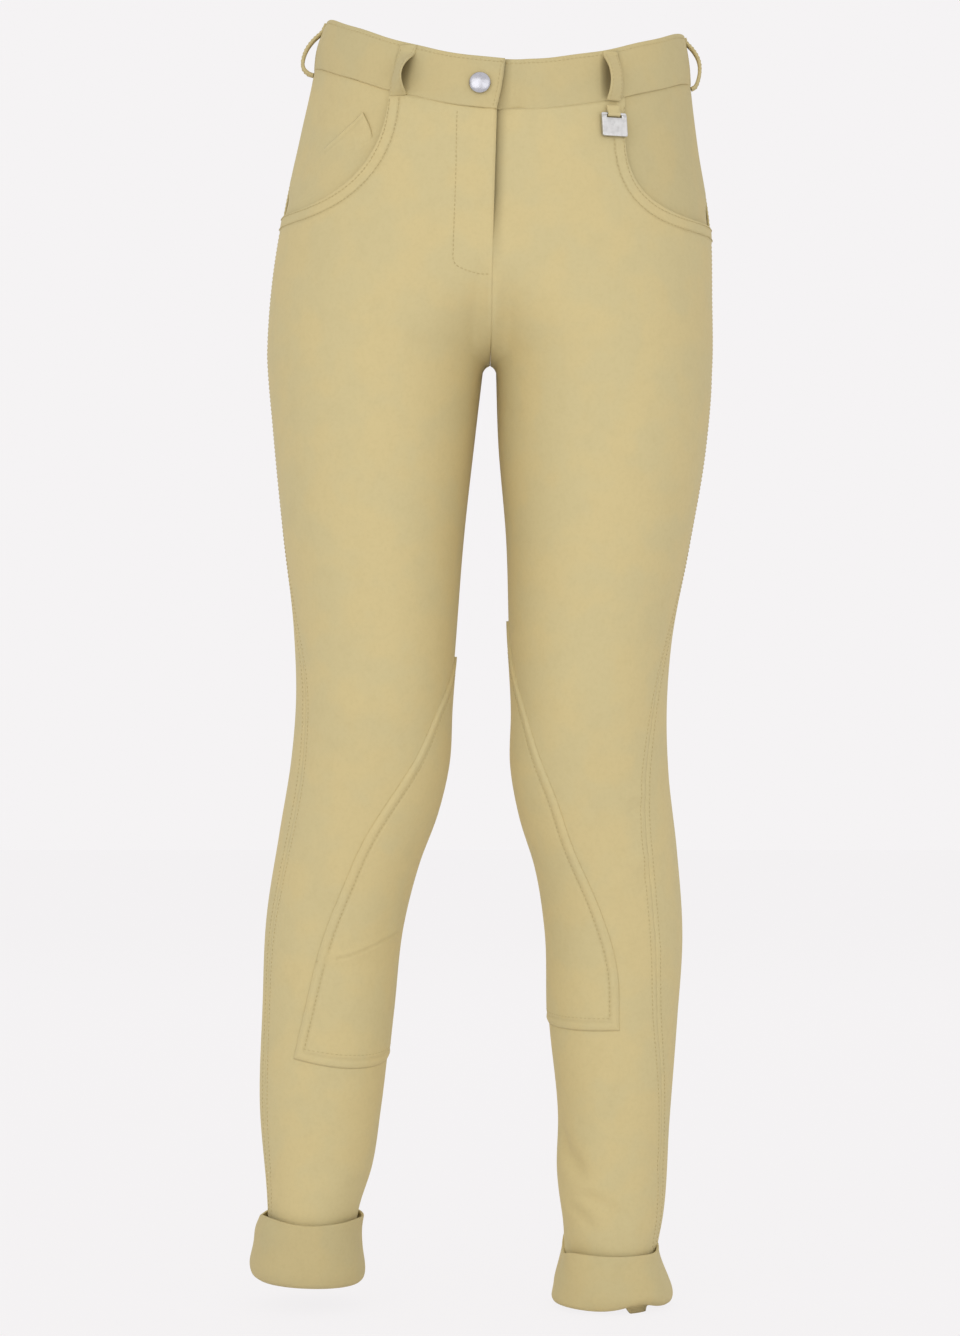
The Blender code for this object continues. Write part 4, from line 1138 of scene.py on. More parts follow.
    def across(self, side: Side, level: Array, turn: Array) -> Array:
        """Places on the cloth, read from the other side where they pass the middle."""
        cloth, other = self.shop.cloth, LEFT if side is RIGHT else RIGHT
        points = cloth.place(side, level, np.minimum(turn, 1.0))
        past = turn > 1.0
        if past.any():
            points[past] = cloth.place(other, level[past], 2.0 - turn[past])
        return points

    def eased(self, points: Array, level: Array) -> Array:
        """Points with the change of section at the crotch spread over a few rows.

        Each pass moves a point towards the middle of its neighbours up and down, by a
        share that is 1 at the crotch and fades up, down and towards both edges.
        """
        share = eased_ends(self.columns)[None]
        amount = (gaussian(level - self.sizes.crotch, 0.02)
                  * smoothstep(0.02, 0.1, share) * smoothstep(0.03, 0.14, 1 - share))
        amount = amount[1:-1, :, None] / 2
        for _ in range(60):
            middle = (points[:-2] + points[2:]) / 2
            points[1:-1] += amount * (middle - points[1:-1])
        return points

    def lap_shade(self, side: Side, level: Array, turn: Array) -> Array:
        """How much painted shade each point takes beside the right front's folded edge."""
        if side is RIGHT:
            return np.zeros(level.shape)
        sizes = self.sizes
        away = ((1.0 - turn) * self.skin.length(side, FRONT, level)
                + self.fly_line(level))
        shown = smoothstep(sizes.fly_end - 0.02, sizes.fly_end + 0.05, level)
        return shown * (1.0 - smoothstep(-0.001, 0.01, away)) ** 1.1

    def build(self) -> None:
        """Make the four panels and their topstitching."""
        shop = self.shop
        for side in Side:
            for face in Face:
                level, turn = self.places(side, face)
                points = self.eased(self.across(side, level, turn), level)
                edge = self.edge_distance(side, face, points)
                steps = np.linalg.norm(np.diff(points, axis=1), axis=2)
                walked = np.concatenate([np.zeros((len(points), 1)), np.cumsum(steps, 1)], 1)
                to_seam = np.minimum(walked, walked[:, -1:] - walked)
                out = -0.0004 * gaussian(to_seam, 0.0016)
                if face is FRONT:
                    hem = 1.0 - smoothstep(self.hem, self.hem + 0.002, edge)
                    near = (np.arange(len(points)) < self.rows_pocket + self.rows_near)[:, None]
                    out = out + self.hem_rise * hem * near
                    out = out + self.fly_relief(side, level, turn)
                top = self.skin.waist_seam(side, np.minimum(turn, 1.0)) - level
                out = out - 0.0006 * (1.0 - smoothstep(-0.0002, 0.0016, top))
                points = points + out[..., None] * self.skin.normal(
                    side, level, np.minimum(turn, 1.0))
                uv = np.stack([turn * self.skin.length(side, face, level), level], axis=-1)
                flip = (side is RIGHT) != (face is BACK)
                # painted shade: the left front darkened beside the right front's folded edge by
                # the "hollow" attribute, and the fronts along the pocket hem's stitch row
                hollow = (self.lap_shade(side, level, turn) if face is FRONT
                          else np.zeros(level.shape))
                finish = CottonFinish(stitch_rows=(self.hem,), hollow=0.68)
                size = (float(walked[:, -1].max()), float(level.max() - level.min()))
                shop.sew(f"{face.value}_{side.value}", Grid(points, uv, edge, hollow),
                         ("cotton_panels", finish), size, "hung", self.wall, flip)
                self.stitch(side, face, level, turn, walked)

    def stitch(self, side: Side, face: Face, level: Array, turn: Array, walked: Array) -> None:
        """Sew one panel's rows: the outseam, the pocket hem on a front, and the centre back on a
        back.
        """
        shop = self.shop
        rows = Topstitching(shop)
        per_metre = 1.0 / walked[:, -1]
        first = self.rows_pocket if face is FRONT else 0
        index = np.arange(first + 2, len(level))
        at = np.interp(self.outseam_row * per_metre[index], eased_ends(self.columns),
                       np.arange(self.columns))
        low = np.minimum(at.astype(int), self.columns - 2)
        part = at - low
        rows.on_cloth(side, *(grid[index, low] * (1 - part) + grid[index, low + 1] * part
                              for grid in (level, turn)))
        if face is FRONT:
            scoop_level, scoop_turn = self.skin.scoop(side, self.skin.scoop_angles(side, 120))
            mouth = self.skin.point(side, scoop_level, scoop_turn)
            normal = self.skin.normal(side, scoop_level, scoop_turn)
            tangent = unit(np.gradient(mouth, axis=0))
            inwards = np.cross(tangent, normal) * side.sign
            for distance in (self.mouth_row, self.hem):
                rows.on_grid(mouth + inwards * distance + normal * (self.hem_rise + 0.0002),
                             normal)
        else:
            crotch_rows = self.rows_pocket + self.rows_crotch - 6
            share = 1.0 - self.back_row * per_metre[:crotch_rows]
            rows.on_cloth(side, level[:crotch_rows, -1],
                          turn[:crotch_rows, 0] + (turn[:crotch_rows, -1]
                                                   - turn[:crotch_rows, 0]) * share)
        rows.build(f"stitching_{face.value}_{side.value}")


# ==== waistband and fly
@dataclass
class Waistband(Assembly):
    """The folded band, its right end lapped over its left, with its stitching."""

    steps: int = 130
    across: int = 14
    rounding: int = 7
    wall: float = 0.0024
    row_share: float = 0.06
    lean: float = 0.0215
    lap_under: float = 0.036
    lap_shade: float = 0.36
    lap_ramp: dict = by_side((0.06, 0.025), (0.022, 0.014))

    def stations(self) -> tuple[Array, Array, Array]:
        """Side (1 for left), turn and outset of every station, from the right end round."""
        sizes, skin = self.sizes, self.skin
        middle = sizes.waist_side - sizes.waist_dip[FRONT][0] - sizes.band_height / 2
        turns = np.linspace(1.0, -1.0, self.steps + 1)
        found, rise = [], sizes.lap_rise
        for side, run in ((RIGHT, turns), (LEFT, turns[-2::-1])):
            start, length = self.lap_ramp[side]
            inward = (1.0 - np.abs(run)) * skin.length(side, FRONT, middle)
            share = np.clip((start - inward) / length, 0.0, 1.0) * (run > 0)
            found.append((np.full(len(run), side is LEFT), run,
                          rise[side] * smoothstep(0.0, 1.0, share)))
        widths = np.linspace(0.002, self.lap_under, 16)
        under = skin.turn_at_width(RIGHT, FRONT, np.full(16, middle), widths)
        found.append((np.zeros(16, bool), under, np.full(16, rise[LEFT])))
        left, turn, outset = (np.concatenate(column) for column in zip(*found))
        return left, turn, outset

    def profile(self) -> tuple[Array, Array, Array]:
        """Closed profile of the fold: share down the band, rise past it, and depth.

        Two straight runs joined by half circles of half the wall.
        """
        r = self.wall / 2
        down = np.linspace(0.0, 1.0, self.across)
        bend = np.linspace(0.0, math.pi, self.rounding + 2)[1:-1]
        zero = np.zeros(self.across)
        share = np.concatenate([down, np.ones(len(bend)), down[::-1], np.zeros(len(bend))])
        rise = np.concatenate([zero, -r * np.sin(bend), zero, r * np.sin(bend)])
        depth = np.concatenate([zero, r - r * np.cos(bend), zero + self.wall,
                                r + r * np.cos(bend)])
        return share, rise, depth

    def shade(self, left: Array, turn: Array, share: Array, level: Array) -> Array:
        """How far each point lies in the shade of a front loop or of the lapped end."""
        skin = self.skin
        hollow = np.zeros((len(turn), len(share)))
        down = np.clip(share, 0.0, 1.0)[None]
        for place in BeltLoops.places:
            mine = (left == (place.side is LEFT)) & (turn > 0.3)
            beside = (turn - place.turn) * skin.length(place.side, FRONT, level)
            beside = np.abs(beside[:, None] - place.lean * (0.5 - down))
            bell = 1.0 - smoothstep(place.shade[0], place.shade[1], beside)
            hollow += bell * mine[:, None] * np.sin(math.pi * down) ** 0.5
        away = (1.0 - turn) * skin.length(LEFT, FRONT, level)
        lapped = self.lap_shade * (1.0 - smoothstep(0.0, 0.006, away)) * left * (turn > 0)
        lapped[2 * self.steps + 1:] = self.lap_shade
        return hollow + lapped[:, None]

    def build(self) -> None:
        """Make the band and its rows of stitching."""
        shop, sizes = self.shop, self.sizes
        left, turn, outset = self.stations()
        share, rise, depth = self.profile()
        r = self.wall / 2
        top = np.where(left, self.skin.waist_top(LEFT, turn), self.skin.waist_top(RIGHT, turn))
        wave = 0.0003 * np.sin(np.arange(len(turn)) * 0.37)
        middle = top.mean()
        level = (top + wave)[:, None] - r - (sizes.band_height - 2 * r) * share + rise
        station = np.arange(len(turn))
        near_end = (1.0 - smoothstep(0.0, 14.0, station)) * (station < self.steps)
        spread = turn[:, None] - self.lean * near_end[:, None] * share**1.8
        fullness = 0.0005 * np.sin(math.pi * share) ** 0.5 * (depth < r)
        out = outset[:, None] - depth + fullness
        points = np.empty((*level.shape, 3))
        for side, mine in ((LEFT, left), (RIGHT, ~left)):
            points[mine] = shop.cloth.place(side, level[mine], spread[mine], out[mine])
        middle_line = points[:, self.across // 2]
        walked = walked_along(middle_line)
        uv = np.stack([np.broadcast_to(walked[:, None], level.shape), level], axis=-1)
        # painted shade: the band darkened under the front loops and beside the lapped end by its
        # "hollow" attribute, and all over by a factor of 0.92
        hollow = self.shade(left, turn, share, middle)
        grid = Grid(points, uv, hollow=hollow, closed_columns=True, capped=True)
        finish = CottonFinish(painted_shade_factor=0.92, hollow=0.9)
        shop.sew("waistband", grid, ("cotton_band", finish),
                 (sizes.band_height, float(walked[-1])), "folded")
        rows = Topstitching(shop)
        near, after = points[:2 * self.steps + 1, :2].transpose(1, 0, 2)
        row = near + self.row_share * (self.across - 1) * (after - near)
        normals = np.concatenate([
            self.skin.normal(RIGHT, level[~left, 6], turn[~left])[:self.steps + 1],
            self.skin.normal(LEFT, level[left, 6], turn[left])])
        rows.on_grid(row, normals)
        end = points[1, :self.across]
        rows.on_grid(end, self.skin.normal(RIGHT, level[1, :self.across],
                                           spread[1, :self.across]))
        rows.build("stitching_waistband")


@dataclass
class Fly(Assembly):
    """The shield behind the fly, and the curved row of stitching beside it."""

    rows: int = 50
    columns: int = 30
    widths: Pair = (-0.032, 0.022)
    drop: float = 0.008
    wall: float = 0.0013
    hollow: float = 0.005
    curve: tuple[Pair, ...] = ((-0.035, -0.053), (-0.0347, -0.07), (-0.0335, -0.105),
        (-0.033, -0.14), (-0.0326, -0.16), (-0.0321, -0.169), (-0.0286, -0.1738),
        (-0.0205, -0.1768), (-0.012, -0.1786), (-0.004, -0.1788))

    def build(self) -> None:
        """Make the shield and sew the fly."""
        shop, sizes = self.shop, self.sizes
        width = np.linspace(*self.widths, self.columns)[None] + np.zeros((self.rows, 1))
        middle = np.full(self.columns, -sizes.band_height)
        seams = []
        for side in Side:
            turn = self.skin.turn_at_width(side, FRONT, middle, np.abs(width[0]))
            seams.append(self.skin.waist_seam(side, turn))
        top = np.where(width[0] > 0, seams[1], seams[0]) - 3 * sizes.seam_gap
        bottom = sizes.fly_end - self.drop
        level = top[None] + (bottom - top)[None] * np.linspace(0.0, 1.0, self.rows)[:, None]
        deep = -sizes.cloth - 0.0008 - self.hollow * gaussian(width - 0.004, 0.016)
        points = shop.place_by_width(FRONT, width, level, deep)
        size = (self.widths[1] - self.widths[0], float(top.max() - bottom))
        shop.sew("fly_shield", Grid(points, np.stack([width, level], axis=-1)),
                 ("cotton_plain", CottonFinish()), size, "hung", self.wall)
        line = through(self.curve, 160)
        sewn = Topstitching(shop)
        points = shop.place_by_width(FRONT, line[:, 0], line[:, 1], 0.0001)
        turn = self.skin.turn_at_width(RIGHT, FRONT, line[:, 1], -line[:, 0])
        sewn.on_grid(points, self.skin.normal(RIGHT, line[:, 1], turn))
        sewn.build("stitching_fly")


# ==== pockets
@dataclass
class Pockets(Assembly):
    """The cloth inside both scooped pocket mouths, and the ticket pocket on the right."""

    rows: int = 64
    columns: int = 48
    deep: dict = by_side(0.005, 0.0036)
    low_deep: dict = by_side(0.0019, 0.0026)
    # painted shade: each facing is a darker copy of the cotton, the left one more
    painted_shade_factor: dict = by_side(0.98, 0.93)
    wall: float = 0.0014
    at_seam: float = 0.0018
    under_band: float = 0.0011
    underlap: float = 0.014
    ramp_turn: Pair = (0.02, 0.16)
    ramp_level: Pair = (0.03, 0.022)
    top_turn: Pair = (0.1, 0.3)
    ticket_edge: tuple[Pair, ...] = (
        (0.1105, -0.053), (0.104, -0.066), (0.1005, -0.0785))
    ticket_top_side: Pair = (0.15, -0.085)
    ticket_low_side: Pair = (0.157, -0.113)
    ticket_sag: float = 0.012
    ticket_stand: float = 0.0014
    ticket_wall: float = 0.0009
    ticket_hem: float = 0.004

    def depth(self, side: Side, level: Array, turn: Array) -> Array:
        """Depth of the facing below the skin: deep under the mouth's edge, flush at the side."""
        gap, side_level = self.sizes.seam_gap, self.sizes.scoop[side][2]
        along = (turn - self.ramp_turn[0]) / self.ramp_turn[1]
        down = (side_level + self.ramp_level[0] - level) / self.ramp_level[1]
        share = smoothstep(0.0, 1.0, np.maximum(along, down))
        low = self.low_deep[side]
        deep = low + (self.deep[side] - low) * smoothstep(side_level, side_level + 0.045, level)
        below = self.skin.waist_seam(side, turn) - level
        deep = self.at_seam + (deep - self.at_seam) * smoothstep(0.0, 0.026, below)
        return gap + (deep - gap) * share

    def facing_places(self, side: Side) -> tuple[Array, Array]:
        """Level and turn of every point of a facing, from the outseam inwards."""
        skin, sizes = self.skin, self.sizes
        angle = skin.scoop_angles(side, self.rows)
        down = np.linspace(0.0, 1.0, self.rows)
        level, turn = skin.scoop(side, angle)
        length = skin.length(side, FRONT, level)
        side_top = float(skin.waist_seam(side, 0.0)) + self.under_band
        start_level = side_top + (sizes.scoop[side][2] - self.underlap - side_top) * down
        start_turn = sizes.seam_gap / 2 / length
        end_level = level - self.underlap * np.sin(angle) ** 2
        least, more = self.top_turn
        end_turn = np.maximum(turn + self.underlap * np.cos(angle).clip(0.0) ** 0.5 / length,
                              start_turn + least + more * (1 - down))
        share = np.linspace(0.0, 1.0, self.columns)[None]
        here_turn = between(start_turn, end_turn, share)
        here_level = between(start_level, end_level, share)
        seam = skin.waist_seam(side, here_turn) + self.under_band
        fade = np.clip(1.0 - down / 0.12, 0.0, 1.0)[:, None] ** 2
        return here_level + fade * (seam - here_level), here_turn

    def build(self) -> None:
        """Make both facings and the ticket pocket."""
        shop = self.shop
        for side in Side:
            level, turn = self.facing_places(side)
            points = shop.cloth.place(side, level, turn, -self.depth(side, level, turn))
            uv = np.stack([turn * self.skin.length(side, FRONT, level), level], axis=-1)
            finish = (f"cotton_facing_{side.value}", CottonFinish(painted_shade_factor=self.painted_shade_factor[side]))
            size = (float(np.ptp(uv[..., 0])), float(np.ptp(level)))
            shop.sew(f"pocket_facing_{side.value}", Grid(points, uv), finish, size, "hung",
                     self.wall, side is RIGHT)
        self.build_ticket()

    def build_ticket(self) -> None:
        """Make the small slanted pocket: a sheet on the right facing, hemmed on top."""
        shop, side = self.shop, RIGHT
        down, across = np.linspace(0, 1, 34)[:, None], np.linspace(0, 1, 40)[None]
        edge = through(self.ticket_edge, 34)
        low, high = np.array(self.ticket_top_side), np.array(self.ticket_low_side)
        ends = low + down * (high - low)
        places = edge[:, None] + (ends - edge)[:, None] * across[..., None]
        width = places[..., 0]
        level = places[..., 1] - self.ticket_sag * np.sin(math.pi * across) * down
        turn = self.skin.turn_at_width(side, FRONT, level, width)
        inwards, rim = across * 0.055, down * 0.034 + 0 * across
        free = gaussian(inwards, 0.014)
        hemmed = gaussian(rim, 0.012) * (1 - smoothstep(0.7, 1.0, across))
        stand = -0.0006 + self.ticket_stand * np.maximum(free, 0.6 * hemmed)
        stand = stand + 0.001 * gaussian(np.hypot(inwards, 0.6 * rim), 0.009)
        stand = stand - (stand + 0.0012) * smoothstep(0.62, 1.0, down)
        stand = stand - self.depth(side, level, turn)
        points = shop.cloth.place(side, level, turn, stand)
        uv = np.stack([width, level], axis=-1)
        # painted shade along the hem's stitch row
        finish = ("cotton_ticket", CottonFinish(stitch_rows=(self.ticket_hem,)))
        shop.sew("ticket_pocket", Grid(points, uv, rim + 0 * width), finish,
                 (float(np.ptp(width)), float(np.ptp(level))), "laid", self.ticket_wall,
                 rests_on=("pocket_facing_right_cloth",))


# ==== knee patches
@dataclass
class KneePatches(Assembly):
    """The doubled cloth round each inseam at the knee, with its rows of stitching."""

    rows: int = 190
    columns: int = 84
    reach: dict = by_side(((-0.474, 0.015), (-0.51, 0.18), (-0.56, 0.318), (-0.61, 0.428),
        (-0.66, 0.482), (-0.72, 0.556), (-0.797, 0.64)),
        ((-0.444, 0.015), (-0.48, 0.1), (-0.52, 0.215), (-0.576, 0.33), (-0.633, 0.375),
        (-0.667, 0.43), (-0.722, 0.505), (-0.764, 0.52)))
    sag: dict = by_side(0.0062, 0.002)
    darts: dict = by_side(((0.0745, -0.6945), (0.0819, -0.6988), (0.1, -0.7085), (0.118, -0.715),
        (0.138, -0.7165)), ((0.05, -0.678), (0.0596, -0.6817), (0.07, -0.6868), (0.08, -0.6895)))
    back_share: float = 0.85
    stand: float = 0.0003
    thickness: float = 0.0012
    wall: float = 0.0011
    row_in: float = 0.0072
    row_end: float = 0.985
    dart_row: float = 0.0022
    pitch: float = 0.0036
    hem: float = 0.0098
    dart_depth: dict = by_side(1.0, 0.35)

    def build(self) -> None:
        """Make both patches."""
        for side in Side:
            self.build_one(side)

    def build_one(self, side: Side) -> None:
        """Make one patch: a sheet laid on the leg from its front edge round to its back."""
        shop, skin = self.shop, self.skin
        table = LevelTable(("level", "reach"), self.reach[side])
        bottom, top = self.reach[side][-1][0], self.reach[side][0][0]
        level = np.linspace(top - 0.0002, bottom, self.rows)
        reach = table.at("reach", level)
        share = eased_ends(self.columns)
        front, back = 1.0 - reach, 1.0 - reach * self.back_share
        seam_gap = self.sizes.seam_gap / 2
        run = -reach[:, None] + (reach * (1 + self.back_share))[:, None] * share
        ends = seam_gap / skin.length(side, FRONT, level)[:, None]
        turn = np.where(run < 0, np.minimum(1.0 + run, 1.0 - ends),
                        -np.minimum(np.abs(1.0 - run), 1.0 - ends))
        down = 1.0 - smoothstep(0.0, 0.09, level - bottom)
        levels = level[:, None] - self.sagging(side, 1.0 + run / reach[:, None]) * down[:, None]
        border = self.border(side, level, front, back, bottom)
        flat = skin.point(side, levels, turn)
        edge = distance_to_line(flat, border)[0]
        rounded = self.thickness * (1 - 0.8 * (1 - smoothstep(0.0, 0.0028, edge)))
        pressed = (-0.00022 * gaussian(edge - self.row_in, 0.0014)
                   + 0.0003 * gaussian(edge - self.row_in / 2, 0.0022))
        dart = through(self.darts[side], 60)
        dart_turn = skin.turn_at_width(side, FRONT, dart[:, 1], dart[:, 0])
        dart_line = skin.point(side, dart[:, 1], dart_turn)
        to_dart, along = distance_to_line(flat, dart_line)
        fade = smoothstep(0.0, 0.08, along) * smoothstep(0.0, 0.12, 1 - along)
        groove = (0.0009 * gaussian(to_dart, 0.0045) - 0.0011 * gaussian(to_dart, 0.001)
                  ) * fade * self.dart_depth[side]
        stand = self.stand + rounded + pressed + groove
        points = shop.cloth.place(side, levels, turn, stand)
        uv = np.stack([run * skin.length_at(side, levels, turn), levels], axis=-1)
        # painted shade along the stitch row inside the edge and, on the right patch, along the
        # dart
        dart_shade = self.row_in + to_dart + (fade < 0.05) + (side is LEFT)
        shade = np.where(edge < 2 * self.row_in, edge, np.minimum(edge, dart_shade))
        breadth = float((reach * (1 + self.back_share)
                         * skin.length(side, FRONT, level)).max())
        finish = ("cotton_patch", CottonFinish(stitch_rows=(self.row_in,)))
        shop.sew(f"knee_patch_{side.value}", Grid(points, uv, shade), finish,
                 (breadth, top - bottom), "laid", self.wall, side is RIGHT,
                 (f"front_{side.value}_cloth", f"back_{side.value}_cloth"))
        self.stitch(side, level, front, back, bottom, dart[:, 1], dart_turn)

    def sagging(self, side: Side, share: Array) -> Array:
        """How far the hem sags at a share of the way from its front corner to the inseam."""
        return self.sag[side] * np.sin(math.pi * np.clip(share, 0.0, 1.0))

    def border(self, side: Side, level: Array, front: Array, back: Array, bottom: float
               ) -> Array:
        """The patch's outline as a world line: down the front, along the hem, up the back."""
        skin = self.skin
        first = skin.point(side, level, front)
        around = np.linspace(front[-1], 1.0, 40)
        share = (around - front[-1]) / (1.0 - front[-1])
        hem_front = skin.point(side, bottom - self.sagging(side, share), around)
        hem_back = skin.point(side, np.full(40, bottom), -np.linspace(1.0, back[-1], 40))
        last = skin.point(side, level[::-1], -back[::-1])
        return np.concatenate([first, hem_front, hem_back, last])

    def stitch(self, side: Side, level: Array, front: Array, back: Array, bottom: float,
               dart_level: Array, dart_turn: Array) -> None:
        """Sew each edge once, the hem once, and the dart on the right patch."""
        shop, skin = self.shop, self.skin
        rows = Topstitching(shop)
        out = self.stand + self.thickness - 0.0001
        for face, edge in ((FRONT, front), (BACK, back)):
            length = skin.length(side, face, level)
            slope = np.gradient(edge * length, level)
            turn = edge + self.row_in * np.sqrt(1 + slope**2) / length
            inside = (turn < self.row_end) & (level > bottom + self.hem)
            rows.on_cloth(side, level[inside], face.sign * turn[inside], out, self.pitch)
        hem_level = bottom + self.hem
        for face, edge in ((FRONT, front), (BACK, back)):
            length = float(skin.length(side, face, hem_level))
            turn = np.linspace(edge[-1] + self.row_in / length, self.row_end, 80)
            sag = self.sagging(side, (turn - edge[-1]) / (1.0 - edge[-1]))
            rows.on_cloth(side, hem_level - 0.85 * sag * (face is FRONT),
                          face.sign * turn, out, self.pitch)
        if side is RIGHT:
            rows.on_cloth(side, dart_level - self.dart_row, dart_turn, out, self.pitch)
        rows.build(f"stitching_knee_{side.value}")


# ==== cuffs
@dataclass(frozen=True)
class LipBend:
    """A place round a cuff where its lip or its fold stands higher or lower."""

    angle: float  # middle of the place, degrees from the outer side by the back
    reach: float  # half-breadth in degrees
    rise: float = 0.0  # how far it stands up
    outset: float = 0.0  # how far it stands out

    def share(self, angle: Array) -> Array:
        """Bell of the shortest way round to the place."""
        away = (angle - math.radians(self.angle) + math.pi) % (2 * math.pi) - math.pi
        return gaussian(away, math.radians(self.reach))


@dataclass
class Cuffs(Assembly):
    """The turned-up cuffs: outside the leg, over the fold, and up inside it.

    A row holds the height over the fold, and how far the cuff's outer face stands out of the
    leg there at its outer side, its inner side, and its front and back.
    """

    around: int = 168
    along: int = 250
    wall: float = 0.0024
    inside_height: float = 0.02
    radius: float = 0.0475
    fold: dict = by_side(-0.9765, -0.9858)
    rows: dict = by_side(((0.0, 0.0095, 0.003, 0.0035), (0.0035, 0.014, 0.006, 0.0055),
        (0.012, 0.015, 0.0075, 0.0065), (0.027, 0.0118, 0.0058, 0.006),
        (0.042, 0.0096, 0.0044, 0.006), (0.053, 0.0054, 0.0044, 0.0058)),
        ((0.0, 0.0085, 0.0085, 0.0035), (0.0035, 0.0126, 0.01, 0.0055),
        (0.011, 0.0134, 0.0092, 0.0065), (0.024, 0.0098, 0.0078, 0.006),
        (0.037, 0.0062, 0.0078, 0.0058), (0.045, 0.0046, 0.0078, 0.0056)))
    lips: dict = by_side((LipBend(272, 46, -0.0036, 0.0), LipBend(12, 26, -0.0048, 0.0012),
        LipBend(184, 16, -0.001, 0.0008)),
        (LipBend(262, 40, -0.001, 0.0), LipBend(350, 15, 0.0056, -0.0034),
        LipBend(20, 24, -0.002, -0.004), LipBend(192, 24, -0.0066, -0.0034),
        LipBend(146, 34, 0.015, -0.0088)))
    folds: dict = by_side((LipBend(20, 30, 0.001), LipBend(150, 34, 0.0008)),
        (LipBend(338, 20, 0.0016), LipBend(300, 25, 0.006)))
    # painted shade: each cuff is a darker copy of the cotton, the right one more
    painted_shade_factor: dict = by_side(0.89, 0.95)
    nub: Triple = (284.0, 323.0, 0.0078)

    def ring_points(self, side: Side, level: Array, outer: Array, inner: Array, face: Array,
                    angle: Array) -> Array:
        """Points round the leg: a superellipse standing out by its own amount each way."""
        sizes = self.sizes
        width_out = sizes.outer.at(side.value, level) + outer
        width_in = sizes.inner.at(side.value, level) - inner
        middle, half = (width_out + width_in) / 2, (width_out - width_in) / 2
        power = 2.0 / sizes.squareness
        cosine, sine = np.cos(angle), np.sin(angle)
        across = middle + half * np.sign(cosine) * np.abs(cosine) ** power
        depth = np.where(sine > 0, sizes.depth.at("back", level),
                         sizes.depth.at("front", level)) + face
        y = (sizes.depth.at("side_y", level)
             + depth * np.sign(sine) * np.abs(sine) ** power)
        x = side.sign * across + sizes.middle_lean * sizes.crotch
        return np.stack([x, y, level - sizes.hip_tilt * x], axis=-1)

    def profile(self, side: Side) -> Array:
        """The closed profile as (level, outer, inner, face) rows, its corners rounded.

        The profile is cut into even steps and each point is then averaged with its
        neighbours twice.
        """
        sizes, fold = self.sizes, self.fold[side]
        out = np.array(self.rows[side])
        out[:, 0] += fold
        outside = through(out, 60)
        back = outside[:3:-1].copy()
        back[:, 1:] -= self.wall
        floor, top = sizes.hem[side] - 2 * sizes.seam_gap, fold + self.inside_height
        beyond, inside = sizes.seam_gap, -(sizes.cloth + sizes.seam_gap + 0.001)
        deep = inside - sizes.cloth
        rest = np.array([(level, *[outset] * 3) for level, outset in (
            (floor, beyond), (floor, inside), (top, inside), (top, deep), (floor, deep),
            (fold, inside))])
        loop = resampled(np.concatenate([outside, back, rest, outside[:1]]), self.along + 1)[:-1]
        for _ in range(2):
            loop = (np.roll(loop, 1, 0) + 2 * loop + np.roll(loop, -1, 0)) / 4
        return loop

    def build(self) -> None:
        """Make both cuffs."""
        for side in Side:
            self.build_one(side)

    def build_one(self, side: Side) -> None:
        """Make one cuff."""
        loop = self.profile(side)
        angle = np.linspace(0.0, 2 * math.pi, self.around, endpoint=False)[None]
        level, outer, inner, face = (column[:, None] for column in loop.T)
        tall = self.rows[side][-1][0]
        share = (level - self.fold[side]) / tall
        outside = outer > 0.0006
        lip = smoothstep(0.35, 1.0, share) * outside
        low = (1.0 - smoothstep(0.0, 0.4, share))
        rise = sum(bend.rise * bend.share(angle) for bend in self.lips[side]) * lip
        rise = rise + sum(bend.rise * bend.share(angle) for bend in self.folds[side]) * low
        out = sum(bend.outset * bend.share(angle) for bend in self.lips[side]) * lip
        waves = (0.0005 * np.sin(3 * angle + 1.0 + 30 * share * tall)
                 + 0.0003 * np.sin(7 * angle + 2.2 - 60 * share * tall)) * outside
        out = out + waves * smoothstep(0.0, 0.3, share)
        if side is LEFT:
            start, end, drop = self.nub
            turned = np.degrees(angle)
            window = smoothstep(start, start + 12, turned) * (1 - smoothstep(end - 6, end, turned))
            low_inside = gaussian(level - self.fold[side], 0.005) * (outer < -0.0006)
            rise = rise - drop * window * low_inside
        points = self.ring_points(side, level + rise, outer + out, inner + out, face + out,
                                  angle)
        walked = walked_along(loop[:, :2])[:, None]
        round_way = angle * 0.052
        uv = np.stack(np.broadcast_arrays(round_way, walked), axis=-1)
        from_lip = np.where(outside, tall - (level - self.fold[side]), FAR)
        edge = np.broadcast_to(from_lip, uv.shape[:2])
        grid = Grid(points, uv, edge, closed_rows=True, closed_columns=True)
        finish = (f"cotton_cuff_{side.value}", CottonFinish(painted_shade_factor=self.painted_shade_factor[side]))
        size = (round(2 * math.pi * self.radius, 4), round(tall + self.inside_height, 4))
        self.shop.sew(f"cuff_{side.value}", grid, finish, size, "folded", flip=side is LEFT)


# ==== belt loops
@dataclass(frozen=True)
class LoopPlace:
    """Where one belt loop stands.

    The bow is the rise of its inner face by the share of the way down the band, and the
    shade is where its shade on the band starts and stops fading, from its middle.
    """

    name: str  # its name after "belt_loop_"
    side: Side  # the wearer's side
    turn: float  # turn of its middle line
    bow: tuple[Pair, ...]
    twist: float = 0.0  # how much further its edge nearer the middle stands out, as a share
    half_width: float = 0.0057  # half its width
    lean: float = 0.0  # how far its top lies nearer the middle than its foot
    shade: Pair = (0.002, 0.0085)


